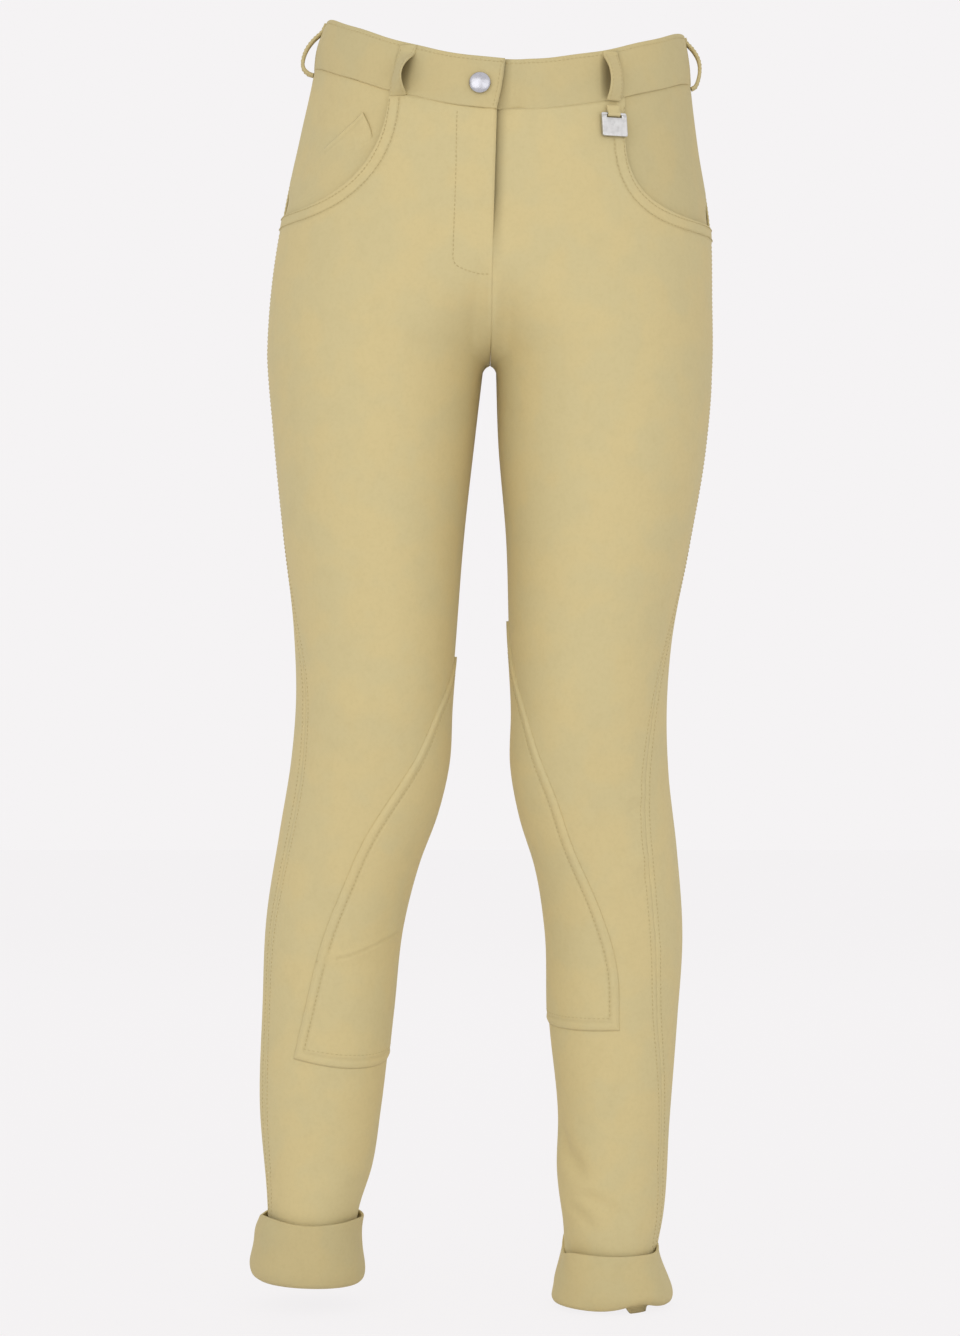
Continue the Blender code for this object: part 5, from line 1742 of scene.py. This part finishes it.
def rounded_strip(half: float, radius: float, flat: int, bend: int) -> tuple[Array, Array]:
    """Closed section of a strip: two flat faces joined by half circles.

    Args:
        half: Half its width.
        radius: Half its thickness.
        flat: Points on each face.
        bend: Points on each half circle, with its two ends.

    Returns:
        Places across the strip, and heights from its middle.
    """
    face = np.linspace(-1.0, 1.0, flat) * (half - radius)
    arc = np.linspace(math.pi / 2, -math.pi / 2, bend)[1:-1]
    level, round_end = np.full(flat, radius), radius * np.sin(arc)
    width = np.concatenate([face, face[-1] + radius * np.cos(arc), face[::-1],
                            face[0] - radius * np.cos(arc)])
    return width, np.concatenate([level, round_end, -level, -round_end])


@dataclass
class BeltLoops(Assembly):
    """Five narrow strips sewn down at both edges of the band."""

    places: tuple[LoopPlace, ...] = (LoopPlace("front_right", RIGHT, 0.611,
        ((0.0, -0.0012), (0.14, -0.0009), (0.23, 0.0004), (0.34, 0.0036), (0.5, 0.0076),
        (0.66, 0.0096), (0.8, 0.0088), (0.91, 0.0052), (0.97, 0.0016), (1.0, -0.0006)), 0.85,
        0.007, 0.0032),
        LoopPlace("front_left", LEFT, 0.581, ((0.0, -0.0012), (0.1, -0.0006), (0.22, 0.0028),
        (0.38, 0.0068), (0.54, 0.0088), (0.68, 0.009), (0.82, 0.0072), (0.93, 0.0042),
        (1.0, 0.0016)), 0.3, 0.0062, 0.0, (0.005, 0.0092)),
        LoopPlace("side_right", RIGHT, 0.02, ((0.0, -0.0012), (0.15, -0.0009), (0.24, 0.0004),
        (0.38, 0.0034), (0.56, 0.0062), (0.74, 0.008), (0.89, 0.0084), (0.99, 0.0072),
        (1.05, 0.0036), (1.06, -0.0004))),
        LoopPlace("side_left", LEFT, 0.02, ((0.0, -0.0012), (0.1, -0.0007), (0.26, 0.0033),
        (0.42, 0.006), (0.58, 0.007), (0.75, 0.0063), (0.9, 0.0046), (1.0, 0.0024),
        (1.03, -0.0004))),
        LoopPlace("back", RIGHT, -1.0, ((0.0, -0.001), (0.1, -0.0004), (0.28, 0.0048),
        (0.52, 0.0066), (0.76, 0.005), (0.93, 0.0014), (1.0, -0.0006))))
    steps: int = 72
    wall: float = 0.0025
    start: float = 0.0026
    row_in: float = 0.0017

    def centre_line(self, place: LoopPlace) -> tuple[Array, Array, Array, Array]:
        """Inner middle line of a loop, its sideways direction, its outward normals, and
        how far its edge nearer the middle stands out more than the line."""
        skin = self.skin
        turn = np.array(place.turn)
        top = float(skin.waist_top(place.side, turn)) - self.start
        bottom = float(skin.waist_seam(place.side, turn))
        bow = np.array(place.bow)
        drop = self.sizes.band_height
        share, rise = (through(bow * (drop, 1.0), self.steps) / (drop, 1.0)).T
        level = top + (bottom - top) * share
        sideways, _, out = self.shop.cloth.frame_at(place.side, (top + bottom) / 2, place.turn)
        line = skin.point(place.side, level, np.full(self.steps, place.turn))
        line = line + out * rise[:, None]
        line = line - sideways * (place.side.sign * place.lean * (0.5 - share))[:, None]
        normal = unit(np.cross(np.gradient(line, axis=0), sideways))
        lift = out * (-place.side.sign * place.twist * rise.clip(0.0))[:, None]
        return line, sideways, normal, lift

    def build(self) -> None:
        """Make every loop and sew both its edges."""
        for place in self.places:
            self.build_one(place)

    def build_one(self, place: LoopPlace) -> None:
        """Make one loop: a flat rounded section carried along its line."""
        shop = self.shop
        line, sideways, normal, lift = self.centre_line(place)
        r, half = self.wall / 2, place.half_width
        width, high = rounded_strip(half, r, 14, 7)
        high = high + r
        crowned = high + 0.00035 * np.cos(math.pi * width / 2 / half) * (high > r)
        points = (line[:, None] + sideways * width[None, :, None]
                  + normal[:, None] * crowned[None, :, None]
                  + lift[:, None] * (width / half)[None, :, None])
        walked = walked_along(line)
        uv = np.stack(np.broadcast_arrays(width[None], walked[:, None]), axis=-1)
        grid = Grid(points, uv, closed_columns=True, capped=True)
        # painted shade: the loops are a darker copy of the cotton
        shop.sew(f"belt_loop_{place.name}", grid, ("cotton_loop", CottonFinish(painted_shade_factor=0.93)),
                 (2 * half, float(walked[-1])), "folded")
        rows = Topstitching(shop)
        for edge_side in (-1, 1):
            offset = (sideways * edge_side * (half - self.row_in) + normal * (2 * r + 0.0001)
                      + lift * edge_side * (1 - self.row_in / half))
            rows.on_grid((line + offset)[4:-4], normal[4:-4], 0.003)
        rows.build(f"stitching_loop_{place.name}")


# ==== button and tag
@dataclass
class WaistButton(Assembly):
    """The domed waist button, turned about the band's normal."""

    width: float = 0.0184
    level: float = -0.0318
    around: int = 72
    outline: tuple[Pair, ...] = ((0.0, 0.0004), (0.006, 0.0004), (0.0068, 0.0008), (0.008, 0.0011),
        (0.0084, 0.0018), (0.0079, 0.0028), (0.0064, 0.0038), (0.0042, 0.0046), (0.002, 0.005),
        (0.0, 0.0051))

    def build(self) -> None:
        """Make the button as a smooth turned shape."""
        shop = self.shop
        turn = float(self.skin.turn_at_width(RIGHT, FRONT, self.level, self.width))
        sideways, up, out = shop.cloth.frame_at(RIGHT, self.level, turn)
        centre = shop.cloth.place(RIGHT, np.array(self.level), np.array(turn),
                                  np.array(self.sizes.lap_rise[RIGHT] + 0.0004))
        radius, height = through(self.outline, 64).T
        radius = np.maximum(radius, 0.0)
        radius[[0, -1]] = 0.0
        angle = np.linspace(0.0, 2 * math.pi, self.around, endpoint=False)
        rings = slice(1, -1)
        circle = np.cos(angle)[:, None] * sideways + np.sin(angle)[:, None] * up
        points = (centre + out * height[rings, None, None]
                  + radius[rings, None, None] * circle[None])
        flat = np.concatenate([points.reshape(-1, 3), centre + np.outer(height[[0, -1]], out)])
        piece = mesh_object("waist_button_turned", flat,
                            tube_cells(len(points), self.around)[:, ::-1])
        shop.enter(piece, shop.finish("button_metal", MetalFinish((0.53, 0.53, 0.57), 0.25)),
                   Slot.METAL, ("waist_button",))


@dataclass
class TagAndLoop(Assembly):
    """The small slotted metal tag and the closed loop of tape that it hangs from."""

    width_at: float = 0.085
    level_at: float = -0.05
    width: float = 0.021
    drop: float = 0.018
    bar: float = 0.0008
    wall: float = 0.003
    bar_wall: float = 0.0016
    corner: float = 0.0014
    slot_width: float = 0.0124
    slot_drop: float = 0.0033
    tape_half_width: float = 0.0052
    tape_bore: float = 0.0014
    tape_wall: float = 0.0009
    tape_height: float = 0.0062
    tape_pinch: tuple[Pair, ...] = ((0.45, 0.25), (0.85, 0.5), (1.0, 0.72))

    def frame(self) -> tuple[Array, Array, Array, Array]:
        """Centre of the tag's bar and its sideways, up and out directions."""
        shop = self.shop
        turn = self.skin.turn_at_width(LEFT, FRONT, self.level_at, self.width_at)
        directions = shop.cloth.frame_at(LEFT, self.level_at - self.drop / 2, float(turn))
        stand = self.sizes.seam_gap + self.tape_wall + self.tape_bore
        centre = (self.skin.point(LEFT, self.level_at, turn)
                  + stand * self.skin.normal(LEFT, self.level_at, turn))
        return centre, *directions

    @staticmethod
    def rounded(half_width: float, top: float, bottom: float, corner: float) -> Array:
        """A rectangle with rounded corners as (sideways, up) rows, 16 to a side."""
        found = []
        bend = np.radians(np.linspace(0.0, 90.0, 7))
        ends = ((half_width, top), (-half_width, top), (-half_width, bottom),
                (half_width, bottom))
        for i, (x, y) in enumerate(ends):
            middle = np.array([x - math.copysign(corner, x), y - math.copysign(
                corner, y - (top + bottom) / 2)])
            angle = bend + i * math.pi / 2
            arc = middle + corner * np.stack([np.cos(angle), np.sin(angle)], axis=1)
            found.append(arc)
        sides = []
        for i, arc in enumerate(found):
            gap = np.linspace(arc[-1], found[(i + 1) % 4][0], 11)[1:-1]
            sides.append(np.concatenate([arc, gap]))
        return np.concatenate(sides)

    def build(self) -> None:
        """Make the tag and its tape."""
        centre, sideways, up, out = self.frame()
        self.build_tag(centre, sideways, up, out)
        self.build_tape(centre, sideways, up, out)

    def build_tag(self, centre: Array, sideways: Array, up: Array, out: Array) -> None:
        """Make the tag: rings from its rounded rim across each face to its slot."""
        r = 0.00045
        half, slot_half = self.width / 2, self.slot_width / 2
        rings = []

        def ring(share: float, inset: float, face: float) -> Array:
            plate = self.rounded(half - inset * (1 - share), self.bar - inset * (1 - share) * 0.6,
                                 -self.drop + inset * (1 - share), self.corner)
            slot = self.rounded(slot_half + inset * share, -self.bar + inset * share * 0.4,
                                -self.slot_drop - inset * share, 0.0006)
            flat = plate + (slot - plate) * share
            on_bar = flat[:, 1:] > -self.bar - 0.0004
            away = face * np.where(on_bar, self.bar_wall, self.wall) / 2
            return centre + sideways * flat[:, :1] + up * flat[:, 1:] + out * away

        bend = np.linspace(0.0, math.pi / 2, 5)
        for share, order in ((0.0, 1), (1.0, -1)):
            rim = [(r * (1 - math.sin(a)), math.cos(a)) for a in bend]
            front = [(inset, 1 - (r / (self.wall / 2)) * (1 - lean)) for inset, lean in rim]
            stations = front + [(0.0, 0.0)] + [(inset, -face) for inset, face in front[::-1]]
            for inset, face in stations[::order]:
                rings.append(ring(share, inset, face))
            face = -1.0 if order == 1 else 1.0
            for between in np.linspace(0.0, 1.0, 7)[1:-1]:
                rings.append(ring(between if order == 1 else 1.0 - between, r, face))
        points = np.stack(rings)
        grid = Grid(points, closed_rows=True, closed_columns=True)
        piece = grid_object("metal_tag_plate", grid)
        metal = MetalFinish((0.58, 0.577, 0.57), 0.4, (1.0, 1.0, 0.3))
        self.shop.enter(piece, self.shop.finish("tag_metal", metal), Slot.METAL,
                        ("metal_tag",), Body.TAG)

    def build_tape(self, centre: Array, sideways: Array, up: Array, out: Array) -> None:
        """Make the tape: round the bar below, pinched together and closed above."""
        middle = self.tape_bore + self.tape_wall / 2
        pinch = (self.tape_wall + self.sizes.seam_gap) / 2
        turned = np.linspace(0.0, math.pi, 13)
        bend = np.stack([-middle * np.cos(turned), -middle * np.sin(turned)], axis=1)
        rising = [(middle - (middle - pinch) * inward, self.tape_height * height)
                  for inward, height in self.tape_pinch]
        ends = [(pinch * 0.6, self.tape_height), (-pinch * 0.6, self.tape_height)]
        path = np.array([*bend, *rising, *ends, *[(-a, h) for a, h in rising[::-1]]])
        smooth = through(np.concatenate([path, path[:1]]), 121)[:-1]
        run = unit(np.roll(smooth, -1, 0) - np.roll(smooth, 1, 0))
        normal = np.stack([run[:, 1], -run[:, 0]], axis=1)
        width, high = rounded_strip(self.tape_half_width, self.tape_wall / 2, 12, 6)
        away = smooth[:, None] + normal[:, None] * high[None, :, None]
        points = (centre + out * away[..., :1] + up * away[..., 1:]
                  + sideways * width[None, :, None])
        walked = walked_along(smooth)
        uv = np.stack(np.broadcast_arrays(width[None], walked[:, None]), axis=-1)
        self.shop.sew("tag_loop", Grid(points, uv, closed_rows=True, closed_columns=True),
                      ("cotton_plain", CottonFinish()),
                      (2 * self.tape_half_width, float(walked[-1])), "folded", flip=True,
                      ending="_tape")


# ==== the studio
@dataclass
class Studio:
    """Camera, pale backdrop and plain soft light."""

    camera_at: Triple = (-0.02, -2.8, -0.4816)
    lens: float = 94.31
    pale: Triple = (0.913, 0.896, 0.904)
    lamps: tuple[tuple[Triple, float, float], ...] = (((-1.4, -2.6, 0.5), 2.8, 23.0),
        ((1.5, -2.5, 0.1), 2.8, 17.0), ((0.0, 2.4, 1.3), 2.6, 15.0))
    world_strength: float = 0.785

    def build(self) -> None:
        """Set the camera, the backdrop, the lamps and the world."""
        scene = bpy.context.scene
        scene.view_settings.view_transform = "Standard"
        camera = bpy.data.cameras.new("camera")
        camera.sensor_fit, camera.sensor_height = "VERTICAL", 36.0
        camera.lens = self.lens
        camera.clip_end = 60.0
        stand = bpy.data.objects.new("camera", camera)
        stand.location = self.camera_at
        stand.rotation_euler = (math.pi / 2, 0.0, 0.0)
        scene.collection.objects.link(stand)
        scene.camera = stand
        self.build_backdrop()
        for i, (place, size, power) in enumerate(self.lamps):
            self.build_lamp(f"lamp_{i}", place, size, power)
        self.build_world()

    def build_backdrop(self) -> None:
        """A pale floor just under the lower cuff."""
        low = CAD_BOX[0][2] - 0.0004
        half = 7.0
        corners = np.array([(-half, -half, low), (half, -half, low), (half, half, low),
                            (-half, half, low)])
        floor = mesh_object("floor", corners, np.array([[0, 1, 2, 3]]), smooth=False)
        bench = MaterialBench("floor")
        pale = (*self.pale, 1.0)
        bench.finished(Base_Color=pale, Roughness=0.9, Specular_IOR_Level=0.0)
        glow = bench.make("Emission", {"Color": pale, "Strength": 1.0})
        share = bench.math("MULTIPLY", bench.seen(), 0.94)
        blend = bench.make("MixShader", {0: share, 1: bench.shader.outputs[0], 2: glow[0]})
        bench.feed(bench.tree.nodes["Material Output"], {"Surface": blend[0]})
        floor.data.materials.append(bench.material)

    def build_lamp(self, name: str, place: Triple, size: float,
                   power: float) -> None:
        """A square lamp that faces the middle of the garment."""
        lamp = bpy.data.lights.new(name, "AREA")
        lamp.size, lamp.energy = size, power
        stand = bpy.data.objects.new(name, lamp)
        stand.location = place
        aim = np.array([0.0, 0.0, -0.45]) - np.array(place)
        stand.rotation_euler = (math.atan2(math.hypot(aim[0], aim[1]), -aim[2]), 0.0,
                                math.atan2(aim[1], aim[0]) - math.pi / 2)
        bpy.context.scene.collection.objects.link(stand)

    def build_world(self) -> None:
        """A pale world, as its colour for seeing rays and dimmer for light."""
        world = bpy.data.worlds.new("world")
        world.use_nodes = True
        bpy.context.scene.world = world
        bench = NodeBench(world.node_tree)
        strength = bench.make("MapRange", {"Value": bench.seen(), "To Max": 1.0,
                                           "To Min": self.world_strength})["Result"]
        bench.feed(bench.tree.nodes["Background"], {"Color": (*self.pale, 1.0),
                                                    "Strength": strength})


# ==== the creases
def creases() -> list[Crease]:
    """Every trough and ridge of the filled-out garment, on its front, sides and back.

    Returns:
        The creases: soft ones at the hips and knees, stronger ones at the ankles, and
        under the seat and behind the knees.
    """
    rows = (
        # left shin, beside the outseam
        (LEFT, ((-0.579, 0.42), (-0.5769, 0.33), (-0.57, 0.235)), 0.0052, 0.0013),
        (LEFT, ((-0.5905, 0.405), (-0.587, 0.3)), 0.0048, -0.001),
        (LEFT, ((-0.637, 0.47), (-0.6282, 0.35), (-0.618, 0.265)), 0.0055, 0.0014),
        (LEFT, ((-0.6455, 0.41), (-0.639, 0.29)), 0.0046, -0.0009),
        (LEFT, ((-0.6578, 0.58), (-0.652, 0.5), (-0.642, 0.4)), 0.006, 0.0012),
        (LEFT, ((-0.701, 0.33), (-0.695, 0.215)), 0.006, 0.0007),
        # left ankle
        (LEFT, ((-0.838, 0.96), (-0.856, 0.87), (-0.8733, 0.74),
         (-0.888, 0.62)), 0.0085, -0.0048, 0.35),
        (LEFT, ((-0.862, 0.96), (-0.879, 0.8), (-0.893, 0.64), (-0.903, 0.52)), 0.006, 0.0018),
        (LEFT, ((-0.891, 0.74), (-0.899, 0.61), (-0.909, 0.48),
         (-0.918, 0.37)), 0.0042, -0.0027, 0.3),
        (LEFT, ((-0.9, 0.64), (-0.909, 0.52), (-0.92, 0.4)), 0.005, 0.001),
        (LEFT, ((-0.902, 0.86), (-0.911, 0.73), (-0.927, 0.57)), 0.0042, -0.0024),
        (LEFT, ((-0.856, 0.33), (-0.87, 0.22), (-0.879, 0.09)), 0.007, -0.001),
        # right ankle
        (RIGHT, ((-0.88, 0.36), (-0.8862, 0.52), (-0.883, 0.72)), 0.0062, -0.0009),
        (RIGHT, ((-0.869, 0.48), (-0.871, 0.64)), 0.0065, 0.0008),
        (RIGHT, ((-0.853, 0.56), (-0.8442, 0.705), (-0.834, 0.88)), 0.007, -0.0009),
        (RIGHT, ((-0.902, 0.62), (-0.896, 0.8), (-0.885, 0.96)), 0.006, -0.0008),
        # fronts: hip crease and crotch, very soft
        (RIGHT, ((-0.218, 0.56), (-0.234, 0.74), (-0.244, 0.92)), 0.01, -0.0007),
        (LEFT, ((-0.215, 0.6), (-0.232, 0.76), (-0.243, 0.93)), 0.009, -0.0006),
        (RIGHT, ((-0.301, 0.7), (-0.279, 0.85), (-0.26, 0.965)), 0.01, -0.0006),
        (LEFT, ((-0.296, 0.72), (-0.276, 0.86), (-0.259, 0.965)), 0.009, -0.0006),
        (RIGHT, ((-0.512, 0.3), (-0.519, 0.44), (-0.516, 0.56)), 0.011, 0.0006),
        (LEFT, ((-0.498, 0.28), (-0.505, 0.4), (-0.501, 0.52)), 0.011, 0.0006),
        # backs: under the seat
        (RIGHT, ((-0.26, -0.96), (-0.282, -0.8), (-0.29, -0.6), (-0.283, -0.4)), 0.0095, -0.0039),
        (RIGHT, ((-0.278, -0.93), (-0.304, -0.76), (-0.313, -0.56)), 0.008, 0.0018),
        (RIGHT, ((-0.296, -0.95), (-0.327, -0.79), (-0.342, -0.62)), 0.0085, -0.0027),
        (LEFT, ((-0.262, -0.95), (-0.286, -0.79), (-0.295, -0.58),
         (-0.289, -0.43)), 0.009, -0.0036),
        (LEFT, ((-0.282, -0.9), (-0.309, -0.73), (-0.316, -0.56)), 0.0085, 0.0016),
        (LEFT, ((-0.3, -0.94), (-0.329, -0.76), (-0.339, -0.64)), 0.008, -0.0023),
        (RIGHT, ((-0.125, -0.9), (-0.162, -0.8), (-0.193, -0.64)), 0.012, -0.0015),
        (LEFT, ((-0.132, -0.92), (-0.166, -0.79), (-0.19, -0.66)), 0.011, -0.0014),
        # behind the knees
        (RIGHT, ((-0.462, -0.25), (-0.473, -0.45), (-0.47, -0.7)), 0.008, -0.0033),
        (RIGHT, ((-0.479, -0.3), (-0.488, -0.52), (-0.483, -0.78)), 0.0065, 0.0024),
        (RIGHT, ((-0.493, -0.22), (-0.503, -0.42), (-0.501, -0.66),
         (-0.492, -0.86)), 0.0075, -0.0042),
        (RIGHT, ((-0.517, -0.34), (-0.524, -0.56), (-0.52, -0.74)), 0.007, -0.0029),
        (RIGHT, ((-0.542, -0.28), (-0.548, -0.48), (-0.543, -0.62)), 0.008, -0.0021),
        (LEFT, ((-0.454, -0.28), (-0.464, -0.52), (-0.46, -0.76)), 0.008, -0.003),
        (LEFT, ((-0.47, -0.36), (-0.478, -0.56), (-0.474, -0.74)), 0.0065, 0.0021),
        (LEFT, ((-0.486, -0.2), (-0.496, -0.44), (-0.493, -0.7),
         (-0.484, -0.88)), 0.0075, -0.0039),
        (LEFT, ((-0.509, -0.32), (-0.518, -0.54), (-0.515, -0.7)), 0.007, -0.003),
        (LEFT, ((-0.538, -0.24), (-0.544, -0.42), (-0.54, -0.6)), 0.0085, -0.0019),
        # calves and ankles behind
        (RIGHT, ((-0.635, -0.12), (-0.65, -0.3), (-0.648, -0.46)), 0.0095, -0.0014),
        (LEFT, ((-0.642, -0.15), (-0.656, -0.31), (-0.652, -0.44)), 0.0095, -0.0015),
        (RIGHT, ((-0.852, -0.3), (-0.863, -0.52), (-0.857, -0.78)), 0.007, -0.0027),
        (RIGHT, ((-0.882, -0.24), (-0.891, -0.46), (-0.885, -0.7)), 0.0065, -0.0033),
        (RIGHT, ((-0.906, -0.38), (-0.911, -0.6), (-0.905, -0.8)), 0.006, -0.0021),
        (LEFT, ((-0.863, -0.2), (-0.876, -0.42), (-0.872, -0.65)), 0.0075, -0.0033),
        (LEFT, ((-0.889, -0.36), (-0.898, -0.56), (-0.893, -0.82)), 0.0065, -0.0036),
        (LEFT, ((-0.915, -0.22), (-0.924, -0.42), (-0.92, -0.6)), 0.006, -0.0024),
    )
    return [Crease(*row) for row in rows]


def swells() -> list[Swell]:
    """Broad soft fullnesses, on the front of both thighs, the seat, knees and left ankle."""
    rows = ((RIGHT, -0.385, 0.52, (0.06, 0.05), 0.0009),
        (LEFT, -0.372, 0.54, (0.065, 0.048), 0.0009), (RIGHT, -0.236, -0.56, (0.03, 0.06), 0.0016),
        (LEFT, -0.24, -0.56, (0.03, 0.058), 0.0015), (LEFT, -0.905, 0.8, (0.016, 0.022), 0.0016),
        (RIGHT, -0.56, 0.3, (0.045, 0.03), 0.001), (LEFT, -0.552, 0.36, (0.04, 0.028), 0.001),)
    return [Swell(*row) for row in rows]


# ==== the garment
def main() -> None:
    """Build every sub-assembly in order, then the studio."""
    logging.basicConfig(level=logging.INFO)
    sizes = GarmentSizes()
    skin = Skin(sizes)
    shop = Workshop(sizes, skin, Cloth(skin, Relief(skin, creases(), swells())))
    for assembly in (LegPanels, Waistband, Fly, Pockets, KneePatches, Cuffs, BeltLoops,
                     WaistButton, TagAndLoop):
        log.info("building %s", assembly.__name__)
        assembly(shop).build()
    Studio().build()


if __name__ == "__main__":
    main()
